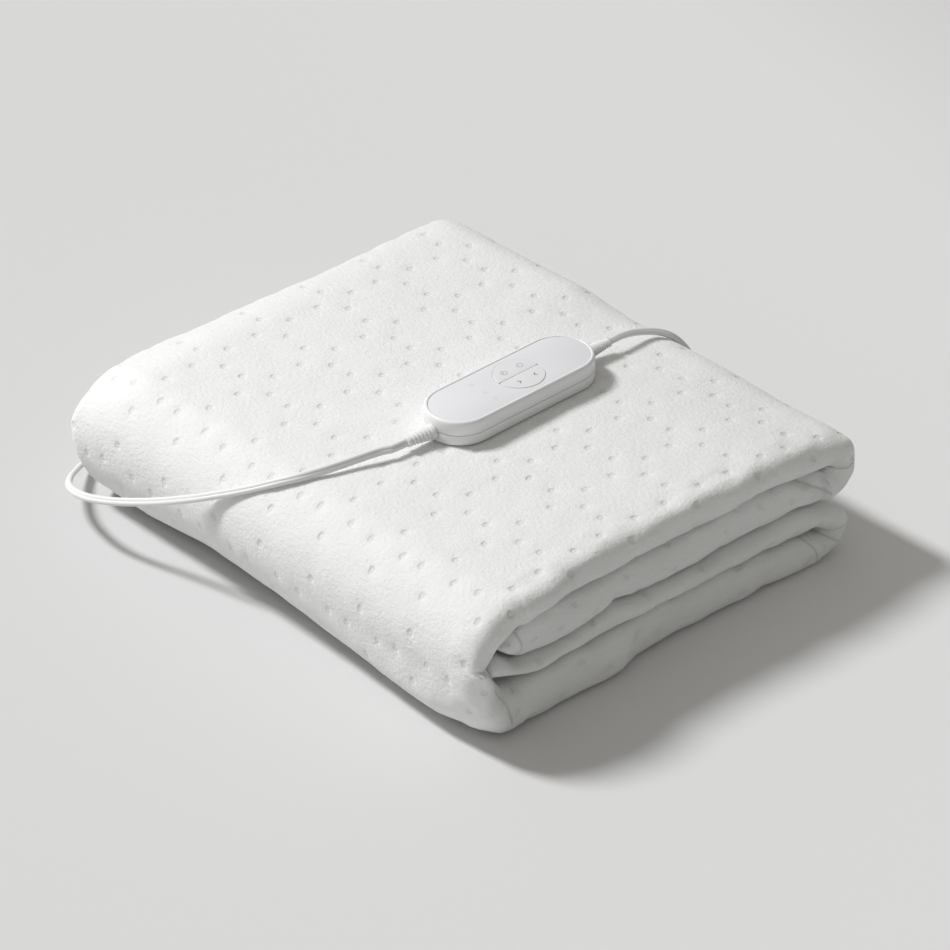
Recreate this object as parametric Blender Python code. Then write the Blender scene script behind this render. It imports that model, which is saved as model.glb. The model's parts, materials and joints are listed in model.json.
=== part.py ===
"""Electric heated underblanket, folded for the shelf, with its hand controller, lead and mains lead.

Frame: +X from the open edges to the rounded lips of the folded strip, +Y from the big outer
wrap to the two back folds, +Z up. The origin is under the middle of the folded blanket.
Everything is in metres.

How the blanket is folded: the flat cloth is doubled once along its length, which gives a strip
with a rounded lip on the +X side and two open edges on the -X side. Both ends of the strip are
then folded to the middle, and the whole is folded in half round the front. Seen from +X it is a
spiral of four layers: bottom, third, second and top.
"""

import math
from collections import namedtuple

import bpy
import bmesh
from mathutils import Matrix, Vector

MM = 0.001

# ---- Blanket: driving sizes ----------------------------------------------------------------
UPPER_EDGE_X = -218 * MM     # open edges of the upper layers, where they wrap round the front
LOWER_EDGE_X = -202 * MM     # the same for the lower layers
EDGE_BULGE = 4.5 * MM        # how far the open edges swell out half way along
LIP_X = 204 * MM             # rounded lip of the strip, at the same place
FRONT_Y = -180 * MM          # outermost line of the front wrap, at the lip
UPPER_BACK_Y = 180 * MM      # outermost line of the upper back fold
LOWER_BACK_Y = 169 * MM      # outermost line of the lower back fold
LAYER_GAP = 1.3 * MM         # air between two layers that lie on each other
PLY_GAP = 1.6 * MM           # air between the two plies of the strip
FOLD_HOLLOW = 2.6 * MM       # half height of the small void inside a back fold
LIP_DEPTH = 15 * MM          # how far the lip's rounding reaches in from the edge

# Thickness of the doubled strip in each layer, from the bottom up.
BOTTOM_THICK = 29 * MM
THIRD_THICK = 17.5 * MM
SECOND_THICK = 24 * MM
TOP_THICK = 28.5 * MM

# Heights that follow from the thicknesses.
BOTTOM_TOP = BOTTOM_THICK
THIRD_LOW = BOTTOM_TOP + LAYER_GAP
THIRD_TOP = THIRD_LOW + THIRD_THICK
SECOND_LOW = THIRD_TOP + LAYER_GAP
SECOND_TOP = SECOND_LOW + SECOND_THICK
TOP_LOW = SECOND_TOP + LAYER_GAP
HEIGHT = TOP_LOW + TOP_THICK

# The front wrap is a half turn round the two free ends of the strip.
WRAP_REACH = 46 * MM         # horizontal half axis of the wrap's outside
WRAP_HOLLOW = 16 * MM        # horizontal half axis of the wrap's inside
WRAP_SQUARE = 2.25           # 2 is an ellipse, more is squarer
WRAP_Y = FRONT_Y + WRAP_REACH
SECOND_END_Y = WRAP_Y - 2 * MM
THIRD_END_Y = WRAP_Y - 5 * MM
FREE_END_THIN = 0.62         # thickness left at the hemmed free ends
FREE_END_TAPER = 12 * MM

# The back folds.
UPPER_FOLD_REACH = 31 * MM
LOWER_FOLD_REACH = 26 * MM

# Nothing here is quite square: each edge shifts to +X by its slant for each metre of +Y.
UPPER_EDGE_SLANT = 0.102
LOWER_EDGE_SLANT = 0.050
UPPER_LIP_SLANT = 0.012
LOWER_LIP_SLANT = 0.026
FRONT_SKEW = 0.045           # the wrap lies further back towards the open edges
FRONT_SPAN = 120 * MM        # length of the strip over which that skew fades out

# Slack of the cloth near its open edges, where only loose plies carry each other.
OPEN_EDGE_DROP = 0.12        # share of the height lost at the open edges
OPEN_EDGE_SPAN = 70 * MM
BACK_REACH = 90 * MM         # depth over which the back differs from the middle

# Share of the height gained or lost along the back: (x, share).
BACK_PROFILE = ((-203 * MM, 0.012), (-53 * MM, 0.015), (2 * MM, -0.035), (82 * MM, -0.04),
                (162 * MM, -0.075), (247 * MM, -0.085))


Station = namedtuple("Station", "inner outer upper stand_out")
# inner, outer: (y, z) of the strip's inner and outer surface
# upper: 1 in the upper two layers, 0 in the lower two; stand_out: of this station's lip


# ---- Small helpers --------------------------------------------------------------------------
def smooth(value):
    """Smooth step from 0 to 1."""
    value = min(1.0, max(0.0, value))
    return value * value * (3.0 - 2.0 * value)


def mix(a, b, share):
    return a + (b - a) * share


def arc_point(centre, reach, half, angle, square=2.0):
    """Point of a (y, z) superellipse, reach wide and half high."""
    cos = math.cos(angle)
    sin = math.sin(angle)
    y = math.copysign(abs(cos) ** (2.0 / square), cos)
    z = math.copysign(abs(sin) ** (2.0 / square), sin)
    return centre[0] + reach * y, centre[1] + half * z


def material(name, colour, roughness, metallic=0.0):
    made = bpy.data.materials.get(name)
    if made is None:
        made = bpy.data.materials.new(name)
        made.use_nodes = True
        shader = made.node_tree.nodes["Principled BSDF"]
        shader.inputs["Base Color"].default_value = (*colour, 1.0)
        shader.inputs["Roughness"].default_value = roughness
        shader.inputs["Metallic"].default_value = metallic
    return made


def add_object(name, mesh, finish, smooth_angle=40.0):
    part = bpy.data.objects.new(name, mesh)
    bpy.context.collection.objects.link(part)
    part.data.materials.clear()
    part.data.materials.append(finish)
    if hasattr(mesh, "shade_smooth"):
        mesh.shade_smooth()
        mesh.set_sharp_from_angle(angle=math.radians(smooth_angle))
    return part


def mesh_from_bmesh(name, bm):
    bmesh.ops.recalc_face_normals(bm, faces=bm.faces)
    mesh = bpy.data.meshes.new(name)
    bm.to_mesh(mesh)
    bm.free()
    return mesh


def loft(name, rings):
    """Closed body through rings of points, with both ends capped."""
    bm = bmesh.new()
    rows = [[bm.verts.new(point) for point in ring] for ring in rings]
    count = len(rows[0])
    for low, high in zip(rows, rows[1:]):
        for i in range(count):
            j = (i + 1) % count
            bm.faces.new((low[i], low[j], high[j], high[i]))
    bm.faces.new(rows[0][::-1])
    bm.faces.new(rows[-1])
    return mesh_from_bmesh(name, bm)


# ---- Blanket: the folded section ------------------------------------------------------------
def back_gap(y, fold_y):
    """Half height of the air between two layers, wider just inside a back fold."""
    near = smooth(1.0 - (fold_y - y) / (18 * MM))
    return mix(LAYER_GAP / 2, FOLD_HOLLOW, near)


def free_end_share(y, end_y):
    """Thickness share left near a free end, which is rounded by its hem."""
    return mix(FREE_END_THIN, 1.0, math.sqrt(min(1.0, (y - end_y) / FREE_END_TAPER)))


def second_layer(steps):
    fold_y = UPPER_BACK_Y - UPPER_FOLD_REACH
    gap_z = (SECOND_TOP + TOP_LOW) / 2
    stations = []
    for i in range(steps + 1):
        y = mix(SECOND_END_Y, fold_y, (i / steps) ** 1.15)
        thin = 1.0 - free_end_share(y, SECOND_END_Y)
        top = gap_z - back_gap(y, fold_y) - thin * SECOND_THICK * 0.4
        low = SECOND_LOW + thin * SECOND_THICK * 0.6
        stations.append(Station((y, top), (y, low), 1.0, -2.5 * MM))
    return stations


def upper_fold(steps):
    fold_y = UPPER_BACK_Y - UPPER_FOLD_REACH
    gap_z = (SECOND_TOP + TOP_LOW) / 2
    middle = (SECOND_LOW + HEIGHT) / 2
    half = (HEIGHT - SECOND_LOW) / 2
    stations = []
    for i in range(1, steps):
        angle = math.pi * (i / steps - 0.5)
        inner = arc_point((fold_y, gap_z), FOLD_HOLLOW, FOLD_HOLLOW, angle)
        outer = arc_point((fold_y, middle), UPPER_FOLD_REACH, half, angle, 2.2)
        stations.append(Station(inner, outer, 1.0, 2.0 * MM))
    return stations


def top_layer(steps):
    fold_y = UPPER_BACK_Y - UPPER_FOLD_REACH
    gap_z = (SECOND_TOP + TOP_LOW) / 2
    stations = []
    for i in range(steps + 1):
        y = mix(fold_y, WRAP_Y, i / steps)
        inner = (y, gap_z + back_gap(y, fold_y))
        stations.append(Station(inner, (y, HEIGHT), 1.0, 2.0 * MM))
    return stations


def front_wrap(steps):
    inner_middle = (TOP_LOW + BOTTOM_TOP) / 2
    inner_half = (TOP_LOW - BOTTOM_TOP) / 2
    stations = []
    for i in range(1, steps):
        angle = math.pi * (0.5 + i / steps)
        inner = arc_point((WRAP_Y, inner_middle), WRAP_HOLLOW, inner_half, angle, WRAP_SQUARE)
        outer = arc_point((WRAP_Y, HEIGHT / 2), WRAP_REACH, HEIGHT / 2, angle, WRAP_SQUARE)
        stations.append(Station(inner, outer, 1.0 - i / steps, 0.0))
    return stations


def bottom_layer(steps):
    fold_y = LOWER_BACK_Y - LOWER_FOLD_REACH
    gap_z = (BOTTOM_TOP + THIRD_LOW) / 2
    stations = []
    for i in range(steps + 1):
        y = mix(WRAP_Y, fold_y, i / steps)
        inner = (y, gap_z - back_gap(y, fold_y))
        stations.append(Station(inner, (y, 0.0), 0.0, 1.0 * MM))
    return stations


def lower_fold(steps):
    fold_y = LOWER_BACK_Y - LOWER_FOLD_REACH
    gap_z = (BOTTOM_TOP + THIRD_LOW) / 2
    middle = THIRD_TOP / 2
    half = THIRD_TOP / 2
    stations = []
    for i in range(1, steps):
        angle = math.pi * (i / steps - 0.5)
        inner = arc_point((fold_y, gap_z), FOLD_HOLLOW, FOLD_HOLLOW, angle)
        outer = arc_point((fold_y, middle), LOWER_FOLD_REACH, half, angle, 2.2)
        stations.append(Station(inner, outer, 0.0, 0.0))
    return stations


def third_layer(steps):
    fold_y = LOWER_BACK_Y - LOWER_FOLD_REACH
    gap_z = (BOTTOM_TOP + THIRD_LOW) / 2
    stations = []
    for i in range(steps + 1):
        y = mix(fold_y, THIRD_END_Y, 1.0 - (1.0 - i / steps) ** 1.15)
        thin = 1.0 - free_end_share(y, THIRD_END_Y)
        low = gap_z + back_gap(y, fold_y) + thin * THIRD_THICK * 0.5
        top = THIRD_TOP - thin * THIRD_THICK * 0.5
        stations.append(Station((y, low), (y, top), 0.0, -3.0 * MM))
    return stations


def section_stations():
    """The whole strip, from the free end of the second layer to that of the third."""
    return (second_layer(13) + upper_fold(9) + top_layer(11) + front_wrap(14)
            + bottom_layer(9) + lower_fold(9) + third_layer(12))


# ---- Blanket: across the strip --------------------------------------------------------------
ACROSS = (0.0, 0.035, 0.09, 0.17, 0.32, 0.48, 0.64, 0.80, 0.92, 1.0)
LIP_STEPS = 8


def across_outline(thick):
    """Outline of the doubled strip as (share across, share of thickness, depth into the lip).

    It runs along the outer ply to the lip, round the lip, back along the inner ply to its open
    edge, and then in and out of the air between the plies.
    """
    gap = PLY_GAP / thick / 2
    outline = [(share, 1.0, 0.0) for share in ACROSS]
    for i in range(1, LIP_STEPS):
        angle = math.pi * i / LIP_STEPS
        outline.append((1.0, 0.5 + 0.5 * math.cos(angle), math.sin(angle) ** 0.85))
    outline += [(share, 0.0, 0.0) for share in reversed(ACROSS)]
    outline += [(share, 0.5 - gap, 0.0) for share in ACROSS]
    outline += [(share, 0.5 + gap, 0.0) for share in reversed(ACROSS)]
    return outline


def lip_wave(y, z):
    """Slow in and out of the lips, as uneven as loosely folded cloth, still at the bottom."""
    loose = smooth(z / (45 * MM))
    return loose * (1.8 * math.sin(31.0 * y + 60.0 * z) + 1.2 * math.sin(67.0 * y - 110.0 * z)) * MM


def edge_wave(y, z):
    """The same along the open edges."""
    return (1.4 * math.sin(26.0 * y - 75.0 * z + 2.0) + 1.2 * math.sin(58.0 * y + 40.0 * z)) * MM


def from_table(table, x):
    """Smoothly joined value of a table of (x, value) rows."""
    if x <= table[0][0]:
        return table[0][1]
    for (x0, value0), (x1, value1) in zip(table, table[1:]):
        if x <= x1:
            return mix(value0, value1, smooth((x - x0) / (x1 - x0)))
    return table[-1][1]


def settled_height(x, y):
    """Share of its full height that the stack keeps at (x, y)."""
    open_edge = smooth((UPPER_EDGE_X + OPEN_EDGE_SPAN - x) / OPEN_EDGE_SPAN)
    back = smooth((y - UPPER_BACK_Y) / BACK_REACH + 1.1)
    return 1.0 - OPEN_EDGE_DROP * open_edge ** 2 + back * from_table(BACK_PROFILE, x)


def place(station, share, height, bulge):
    """Point of the blanket from its station and its place in the outline."""
    y = mix(station.inner[0], station.outer[0], height)
    z = mix(station.inner[1], station.outer[1], height)
    along = y - FRONT_Y
    left = mix(LOWER_EDGE_X, UPPER_EDGE_X, station.upper)
    left += along * mix(LOWER_EDGE_SLANT, UPPER_EDGE_SLANT, station.upper)
    left -= EDGE_BULGE * math.sin(math.pi * smooth(along / (UPPER_BACK_Y - FRONT_Y)))
    right = LIP_X + along * mix(LOWER_LIP_SLANT, UPPER_LIP_SLANT, station.upper)
    left += edge_wave(y, z)
    right += station.stand_out + lip_wave(y, z) - LIP_DEPTH
    x = mix(left, right, share) + bulge * LIP_DEPTH
    skew = FRONT_SKEW * smooth(1.0 - along / FRONT_SPAN)
    return Vector((x, y + skew * (LIP_X - x), z * settled_height(x, y)))


def make_blanket():
    rings = []
    for station in section_stations():
        thick = math.dist(station.inner, station.outer)
        outline = across_outline(thick)
        rings.append([place(station, *spot) for spot in outline])
    fleece = material("white fleece", (0.86, 0.86, 0.86), 0.95)
    return add_object("blanket", loft("blanket", rings), fleece, 60.0)


# ---- Controller: driving sizes --------------------------------------------------------------
# Its own frame: origin under its middle, x across, y along it towards the mains side, z up.
SEAT_GAP = 0.3 * MM          # between pieces that rest on or in each other
HAND_LENGTH = 142 * MM
HAND_WIDTH = 48 * MM
HAND_X = 24 * MM
HAND_Y = 28 * MM
HAND_TURN = -2.8             # degrees about +Z
HAND_Z = HEIGHT + SEAT_GAP
SPLIT_Z = 8.2 * MM           # parting line of the two shells
SPLIT_GAP = 0.4 * MM
RIM_Z = 17.0 * MM            # top of the rim
RECESS_Z = 15.6 * MM         # floor of the panel's recess
PANEL_Z = 16.7 * MM
RIM_INSET = 4.4 * MM         # from the widest outline to the panel's recess
KEY_PAD_Y = 11 * MM          # middle of the round key pad
KEY_PAD_RADIUS = 17.9 * MM
KEY_TOP_Z = 17.5 * MM
KEY_LOW_Z = 13.2 * MM
KEY_TRAVEL = 0.5 * MM
KEY_WELL_Z = KEY_LOW_Z - KEY_TRAVEL - 0.3 * MM
KEY_SPLIT = 0.4 * MM
KEY_MIDDLE = 8.5 * MM        # from the split to the middle of each key, its press axis
ROUND_STEPS = 14             # segments in each round end of the controller

# Rings of each shell as (inset from the widest outline, height).
LOWER_SHELL = ((5.6 * MM, 0.0), (2.6 * MM, 1.2 * MM), (0.9 * MM, 3.6 * MM), (0.2 * MM, 6.2 * MM),
               (0.0, SPLIT_Z - SPLIT_GAP))
UPPER_SHELL = ((0.0, SPLIT_Z), (0.3 * MM, 11.4 * MM), (1.0 * MM, 14.0 * MM), (2.2 * MM, 16.0 * MM),
               (3.4 * MM, RIM_Z), (RIM_INSET, RIM_Z), (RIM_INSET, RECESS_Z))

# Ribbed strain reliefs at both ends of the controller.
BOOT_LENGTH = 24 * MM
BOOT_Z = 7.2 * MM
BOOT_ROOT = 4.4 * MM         # radius at the shell
BOOT_TIP = 3.4 * MM
BOOT_RIBS = 5
BOOT_GROOVE = 0.7 * MM


def hand_frame():
    turn = Matrix.Rotation(math.radians(HAND_TURN), 4, "Z")
    return Matrix.Translation((HAND_X, HAND_Y, HAND_Z)) @ turn


def stadium(inset, z):
    """Ring of points with straight sides and round ends, in the controller's frame."""
    radius = HAND_WIDTH / 2 - inset
    middle = HAND_LENGTH / 2 - HAND_WIDTH / 2
    ring = []
    for side in (1, -1):
        for i in range(ROUND_STEPS + 1):
            angle = math.pi * i / ROUND_STEPS + (0.0 if side > 0 else math.pi)
            point = (radius * math.cos(angle), side * middle + radius * math.sin(angle), z)
            ring.append(Vector(point))
    return ring


def cutter(name, mesh, frame):
    """A solid that only cuts, left out of the object itself."""
    tool = bpy.data.objects.new(name, mesh)
    bpy.context.collection.objects.link(tool)
    tool.matrix_world = frame
    tool.hide_render = True
    tool.display_type = "WIRE"
    return tool


def cut_away(part, tool):
    cut = part.modifiers.new("cut", "BOOLEAN")
    cut.operation = "DIFFERENCE"
    cut.solver = "EXACT"
    cut.object = tool


def disc_ring(radius, z, steps=32):
    turn = math.tau / steps
    return [Vector((radius * math.cos(turn * i), KEY_PAD_Y + radius * math.sin(turn * i), z))
            for i in range(steps)]


def make_shells(frame):
    plastic = material("white shell", (0.88, 0.88, 0.88), 0.25)
    lower = loft("hand_lower_shell", [stadium(inset, z) for inset, z in LOWER_SHELL])
    add_object("hand_lower_shell", lower, plastic).matrix_world = frame
    upper = loft("hand_upper_shell", [stadium(inset, z) for inset, z in UPPER_SHELL])
    shell = add_object("hand_upper_shell", upper, plastic)
    shell.matrix_world = frame
    well_radius = KEY_PAD_RADIUS + SEAT_GAP
    well_rings = [disc_ring(well_radius, KEY_WELL_Z), disc_ring(well_radius, RIM_Z + 2 * MM)]
    cut_away(shell, cutter("key_well_cutter", loft("key_well", well_rings), frame))


def make_panel(frame):
    film = material("pale grey panel", (0.75, 0.77, 0.80), 0.3)
    inset = RIM_INSET + SEAT_GAP
    rings = [stadium(inset, RECESS_Z + 0.1 * MM), stadium(inset, PANEL_Z)]
    panel = add_object("hand_panel", loft("hand_panel", rings), film)
    panel.matrix_world = frame
    hole_rings = [disc_ring(KEY_PAD_RADIUS, KEY_WELL_Z), disc_ring(KEY_PAD_RADIUS, RIM_Z + 2 * MM)]
    cut_away(panel, cutter("key_hole_cutter", loft("key_hole", hole_rings), frame))


def half_disc(side, inset, z):
    """Half of the round key pad about the key's own middle; side is -1 or 1 across it."""
    radius = KEY_PAD_RADIUS - SEAT_GAP - inset
    flat = KEY_SPLIT / 2 + inset
    start = math.asin(flat / radius)
    ring = []
    steps = 16
    for i in range(steps + 1):
        angle = mix(start, math.pi - start, i / steps) - side * math.pi / 2
        point = (radius * math.cos(angle) - side * KEY_MIDDLE, radius * math.sin(angle), z)
        ring.append(Vector(point))
    return ring


def make_keys(frame):
    rubber = material("white key", (0.84, 0.85, 0.87), 0.4)
    height = KEY_TOP_Z - KEY_LOW_Z
    profile = ((0.0, 0.0), (0.0, height - 0.5 * MM), (0.5 * MM, height))
    for name, side in (("key_power_timer", -1), ("key_up_down", 1)):
        rings = [half_disc(side, inset, z) for inset, z in profile]
        middle = Matrix.Translation((side * KEY_MIDDLE, KEY_PAD_Y, KEY_LOW_Z))
        add_object(name, loft(name, rings), rubber).matrix_world = frame @ middle


def boot_frame(frame, side):
    """Frame of a strain relief: its z axis runs out of the controller's end."""
    out = Matrix.Rotation(math.radians(-90.0 * side), 4, "X")
    reach = HAND_LENGTH / 2 + SEAT_GAP
    return frame @ Matrix.Translation((0.0, side * reach, BOOT_Z)) @ out


def turned_rings(profile, steps, squash=1.0):
    """Rings of a turned or oval piece from (radius, z) pairs; squash flattens its y."""
    turn = math.tau / steps
    return [[Vector((radius * math.cos(turn * i), squash * radius * math.sin(turn * i), z))
             for i in range(steps)] for radius, z in profile]


def make_boots(frame):
    soft = material("white soft plastic", (0.85, 0.85, 0.85), 0.45)
    profile = [(BOOT_ROOT, 0.0)]
    rib = BOOT_LENGTH / (BOOT_RIBS + 1)
    for i in range(BOOT_RIBS):
        z = (i + 0.9) * rib
        radius = mix(BOOT_ROOT, BOOT_TIP, z / BOOT_LENGTH)
        profile += [(radius, z - 0.32 * rib), (radius - BOOT_GROOVE, z - 0.14 * rib),
                    (radius - BOOT_GROOVE, z + 0.14 * rib), (radius, z + 0.32 * rib)]
    profile.append((BOOT_TIP, BOOT_LENGTH))
    for name, side in (("lead_boot", -1), ("mains_boot", 1)):
        mesh = loft(name, turned_rings(profile, 14, 0.9))
        add_object(name, mesh, soft).matrix_world = boot_frame(frame, side)


# ---- Cords: driving sizes -------------------------------------------------------------------
LEAD_DIAMETER = 6.0 * MM
MAINS_DIAMETER = 5.0 * MM
CORD_SPACING = 2.5           # tube points lie this many diameters apart
CORD_STRAIGHT = 2.0          # straight length outside a strain relief, in diameters

# The unseen length lies in a neat round coil behind the folds. Its places are in millimetres.
COIL_X = -4.0
COIL_Y = 212.0
COIL_MIDDLE = 28.0           # radius at the middle of its turns
COIL_SIDE = 15.2             # width and height of its outer shape
COIL_CORNER = 3.0
COIL_LIFT = 0.3
COIL_OUTER_TURN = 33.0       # radius of the outer turns, where the cord comes in and leaves
COIL_LOW_TURN = 2.9          # height of the lowest and of the highest turns
COIL_HIGH_TURN = 12.9
COIL_ENTRY = 19.3            # where the straight cord stops short of the coil's outer shape

# Routes by hand, in millimetres; each starts or ends at a strain relief or at the coil.
LEAD_ROUTE = (
    (16.6, -86.6, 111.6), (11.0, -100.2, 110.0), (5.2, -113.8, 108.0), (0.4, -127.9, 106.8),
    (-5.6, -141.0, 105.3), (-14.9, -151.6, 101.0), (-26.0, -159.0, 94.7), (-38.2, -165.3, 88.6),
    (-51.6, -171.8, 82.5), (-65.0, -178.0, 76.5), (-79.6, -183.2, 70.2), (-94.6, -187.2, 63.8),
    (-110.4, -190.8, 57.4), (-127.6, -193.6, 50.8), (-142.4, -194.2, 45.2), (-158.4, -193.6, 39.4),
    (-171.6, -190.6, 34.2), (-184.0, -186.2, 29.6), (-196.0, -180.0, 25.4), (-205.6, -171.8, 21.4),
    (-213.8, -162.4, 17.6), (-221.0, -151.8, 13.8), (-226.6, -142.4, 11.0), (-231.0, -133.0, 8.6),
    (-234.6, -122.6, 6.6), (-237.4, -110.0, 5.0), (-238.8, -96.0, 4.2), (-238.6, -82.0, 4.1),
    (-236.8, -68.4, 4.8), (-233.2, -55.6, 6.6),
)
MAINS_ROUTE = (
    (29.2, 130.8, 110.8), (29.8, 139.8, 108.2), (30.8, 148.0, 105.4), (33.0, 155.8, 103.0),
    (36.2, 162.8, 100.6), (40.2, 170.0, 96.8), (44.8, 176.8, 91.2), (49.4, 182.4, 82.6),
    (54.0, 186.2, 71.4), (57.8, 188.8, 59.4), (60.0, 190.2, 46.6), (59.8, 190.4, 34.4),
    (56.4, 189.6, 23.2), (50.0, 187.8, 14.2), (41.4, 185.4, 7.8), (32.2, 182.6, 4.2),
    (23.4, 180.2, 3.0), (COIL_X + COIL_ENTRY, COIL_Y - COIL_OUTER_TURN, COIL_LOW_TURN),
)
MAINS_TAIL = (
    (COIL_X - COIL_ENTRY, COIL_Y - COIL_OUTER_TURN, COIL_HIGH_TURN), (-32.2, 179.7, 11.8),
    (-41.4, 181.9, 9.2),
)


def spline_point(points, place):
    """Point of a smooth curve through all the points, at a place counted in points."""
    last = len(points) - 1
    i = min(int(place), last - 1)
    t = place - i
    before = points[i - 1] if i > 0 else points[0] * 2 - points[1]
    after = points[i + 2] if i + 2 <= last else points[last] * 2 - points[last - 1]
    start, end = points[i], points[i + 1]
    out = (end - before) / 2
    into = (after - start) / 2
    square, cube = t * t, t * t * t
    return (start * (2 * cube - 3 * square + 1) + out * (cube - 2 * square + t)
            + end * (3 * square - 2 * cube) + into * (cube - square))


def even_points(points, spacing):
    """Points about one spacing apart along the smooth curve through the given points."""
    fine = [spline_point(points, i / 20) for i in range(20 * (len(points) - 1) + 1)]
    length = sum((b - a).length for a, b in zip(fine, fine[1:]))
    count = max(2, round(length / spacing))
    even, walked, target = [fine[0]], 0.0, 1
    for a, b in zip(fine, fine[1:]):
        step = (b - a).length
        while target < count and walked + step >= target * length / count:
            even.append(a.lerp(b, (target * length / count - walked) / step))
            target += 1
        walked += step
    even.append(fine[-1])
    return even


def make_tube(name, start, route, end, diameter, finish):
    """Tube along a route, which keeps the straight lines of two points each at its ends."""
    curve = bpy.data.curves.new(name, "CURVE")
    curve.dimensions = "3D"
    curve.bevel_depth = diameter / 2
    curve.bevel_resolution = 2
    curve.use_fill_caps = True
    middle = start[1:] + [Vector(point) * MM for point in route] + end[:1]
    points = start[:1] + even_points(middle, CORD_SPACING * diameter) + end[1:]
    spline = curve.splines.new("POLY")
    spline.points.add(len(points) - 1)
    for slot, point in zip(spline.points, points):
        slot.co = (*point, 1.0)
    tube = bpy.data.objects.new(name, curve)
    bpy.context.collection.objects.link(tube)
    curve.materials.append(finish)


def make_coil(finish):
    """Turned ring of the coil's outer shape."""
    low = COIL_LIFT
    high = COIL_LIFT + COIL_SIDE
    near = COIL_MIDDLE - COIL_SIDE / 2
    far = COIL_MIDDLE + COIL_SIDE / 2
    corner = COIL_CORNER
    outline = ((near + corner, low), (far - corner, low), (far, low + corner),
               (far, high - corner), (far - corner, high), (near + corner, high),
               (near, high - corner), (near, low + corner))
    steps = 36
    bm = bmesh.new()
    rows = []
    for i in range(steps):
        turn = math.tau * i / steps
        way = Vector((math.cos(turn), math.sin(turn), 0.0))
        middle = Vector((COIL_X, COIL_Y, 0.0))
        row = [(middle + way * radius + Vector((0.0, 0.0, z))) * MM for radius, z in outline]
        rows.append([bm.verts.new(point) for point in row])
    for row, following in zip(rows, rows[1:] + rows[:1]):
        for j in range(len(outline)):
            k = (j + 1) % len(outline)
            bm.faces.new((row[j], following[j], following[k], row[k]))
    add_object("mains_coil", mesh_from_bmesh("mains_coil", bm), finish, 50.0)


def straight_out(frame, reach, diameter):
    """Two points along a strain relief's own z axis: at its tip and a little further out."""
    tip = reach + SEAT_GAP
    further = tip + CORD_STRAIGHT * diameter
    return [frame @ Vector((0.0, 0.0, tip)), frame @ Vector((0.0, 0.0, further))]


def make_cords(frame):
    jacket = material("white cord", (0.83, 0.83, 0.83), 0.45)
    start = straight_out(boot_frame(frame, -1), BOOT_LENGTH, LEAD_DIAMETER)
    end = straight_out(sleeve_tip_frame(), 0.0, LEAD_DIAMETER)[::-1]
    make_tube("lead_cord", start, LEAD_ROUTE, end, LEAD_DIAMETER, jacket)
    start = straight_out(boot_frame(frame, 1), BOOT_LENGTH, MAINS_DIAMETER)
    make_tube("mains_cord", start, MAINS_ROUTE, [], MAINS_DIAMETER, jacket)
    end = straight_out(plug_relief_frame(), PLUG_RELIEF, MAINS_DIAMETER)[::-1]
    make_tube("mains_tail", [], MAINS_TAIL, end, MAINS_DIAMETER, jacket)
    make_coil(jacket)


# ---- Lead sleeve: where the lead goes in between the plies of the bottom layer ---------------
SLEEVE_ROOT_X = -198.1 * MM
SLEEVE_ROOT_Y = -15 * MM
SLEEVE_ROOT_Z = 14.5 * MM
SLEEVE_ROOT_TURN = -6.0      # degrees from -X towards -Y at its root, square to the open edges
SLEEVE_TIP_TURN = 60.0       # the same at its tip
SLEEVE_DIP = 10.0            # degrees below level at the tip
SLEEVE_LENGTH = 27 * MM

# Sections as (share of the length, half width, half height).
SLEEVE_SECTIONS = ((0.0, 8.5 * MM, 6.0 * MM), (0.12, 8.3 * MM, 5.9 * MM), (0.34, 5.8 * MM, 4.6 * MM),
                   (0.65, 4.6 * MM, 4.0 * MM), (1.0, 3.9 * MM, 3.6 * MM))


def sleeve_way(share):
    """Direction of the sleeve at a share of its length."""
    turn = math.radians(mix(SLEEVE_ROOT_TURN, SLEEVE_TIP_TURN, share))
    dip = math.radians(SLEEVE_DIP * share)
    level = Vector((-math.cos(turn), -math.sin(turn), 0.0))
    return level * math.cos(dip) - Vector((0.0, 0.0, math.sin(dip)))


def sleeve_point(share):
    """Middle of the sleeve at a share of its length; it bends evenly from root to tip."""
    point = Vector((SLEEVE_ROOT_X, SLEEVE_ROOT_Y, SLEEVE_ROOT_Z))
    pieces = 24
    for i in range(round(share * pieces)):
        point += sleeve_way((i + 0.5) / pieces) * SLEEVE_LENGTH / pieces
    return point


def sleeve_tip_frame():
    turned = sleeve_way(1.0).to_track_quat("Z", "Y").to_matrix().to_4x4()
    return Matrix.Translation(sleeve_point(1.0)) @ turned


def sleeve_ring(share, half_width, half_height, steps=16):
    way = sleeve_way(share)
    across = Vector((0.0, 0.0, 1.0)).cross(way).normalized() * half_width
    up = way.cross(across).normalized() * half_height
    point = sleeve_point(share)
    turn = math.tau / steps
    return [point + across * math.cos(turn * i) + up * math.sin(turn * i) for i in range(steps)]


def make_sleeve():
    soft = material("white soft plastic", (0.85, 0.85, 0.85), 0.45)
    rings = [sleeve_ring(*section) for section in SLEEVE_SECTIONS]
    add_object("lead_sleeve", loft("lead_sleeve", rings), soft)


# ---- Plug: flat two-pin mains plug ----------------------------------------------------------
PLUG_X = -75.5 * MM          # where its strain relief meets the body
PLUG_Y = 193.0 * MM
PLUG_TURN = 162.0            # degrees from +X to the way the pins point, about +Z
PLUG_Z = 7.2 * MM            # height of its middle
PLUG_RELIEF = 16 * MM        # length of its strain relief
PIN_LENGTH = 19 * MM
PIN_RADIUS = 2.0 * MM
PIN_APART = 18.6 * MM

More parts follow.
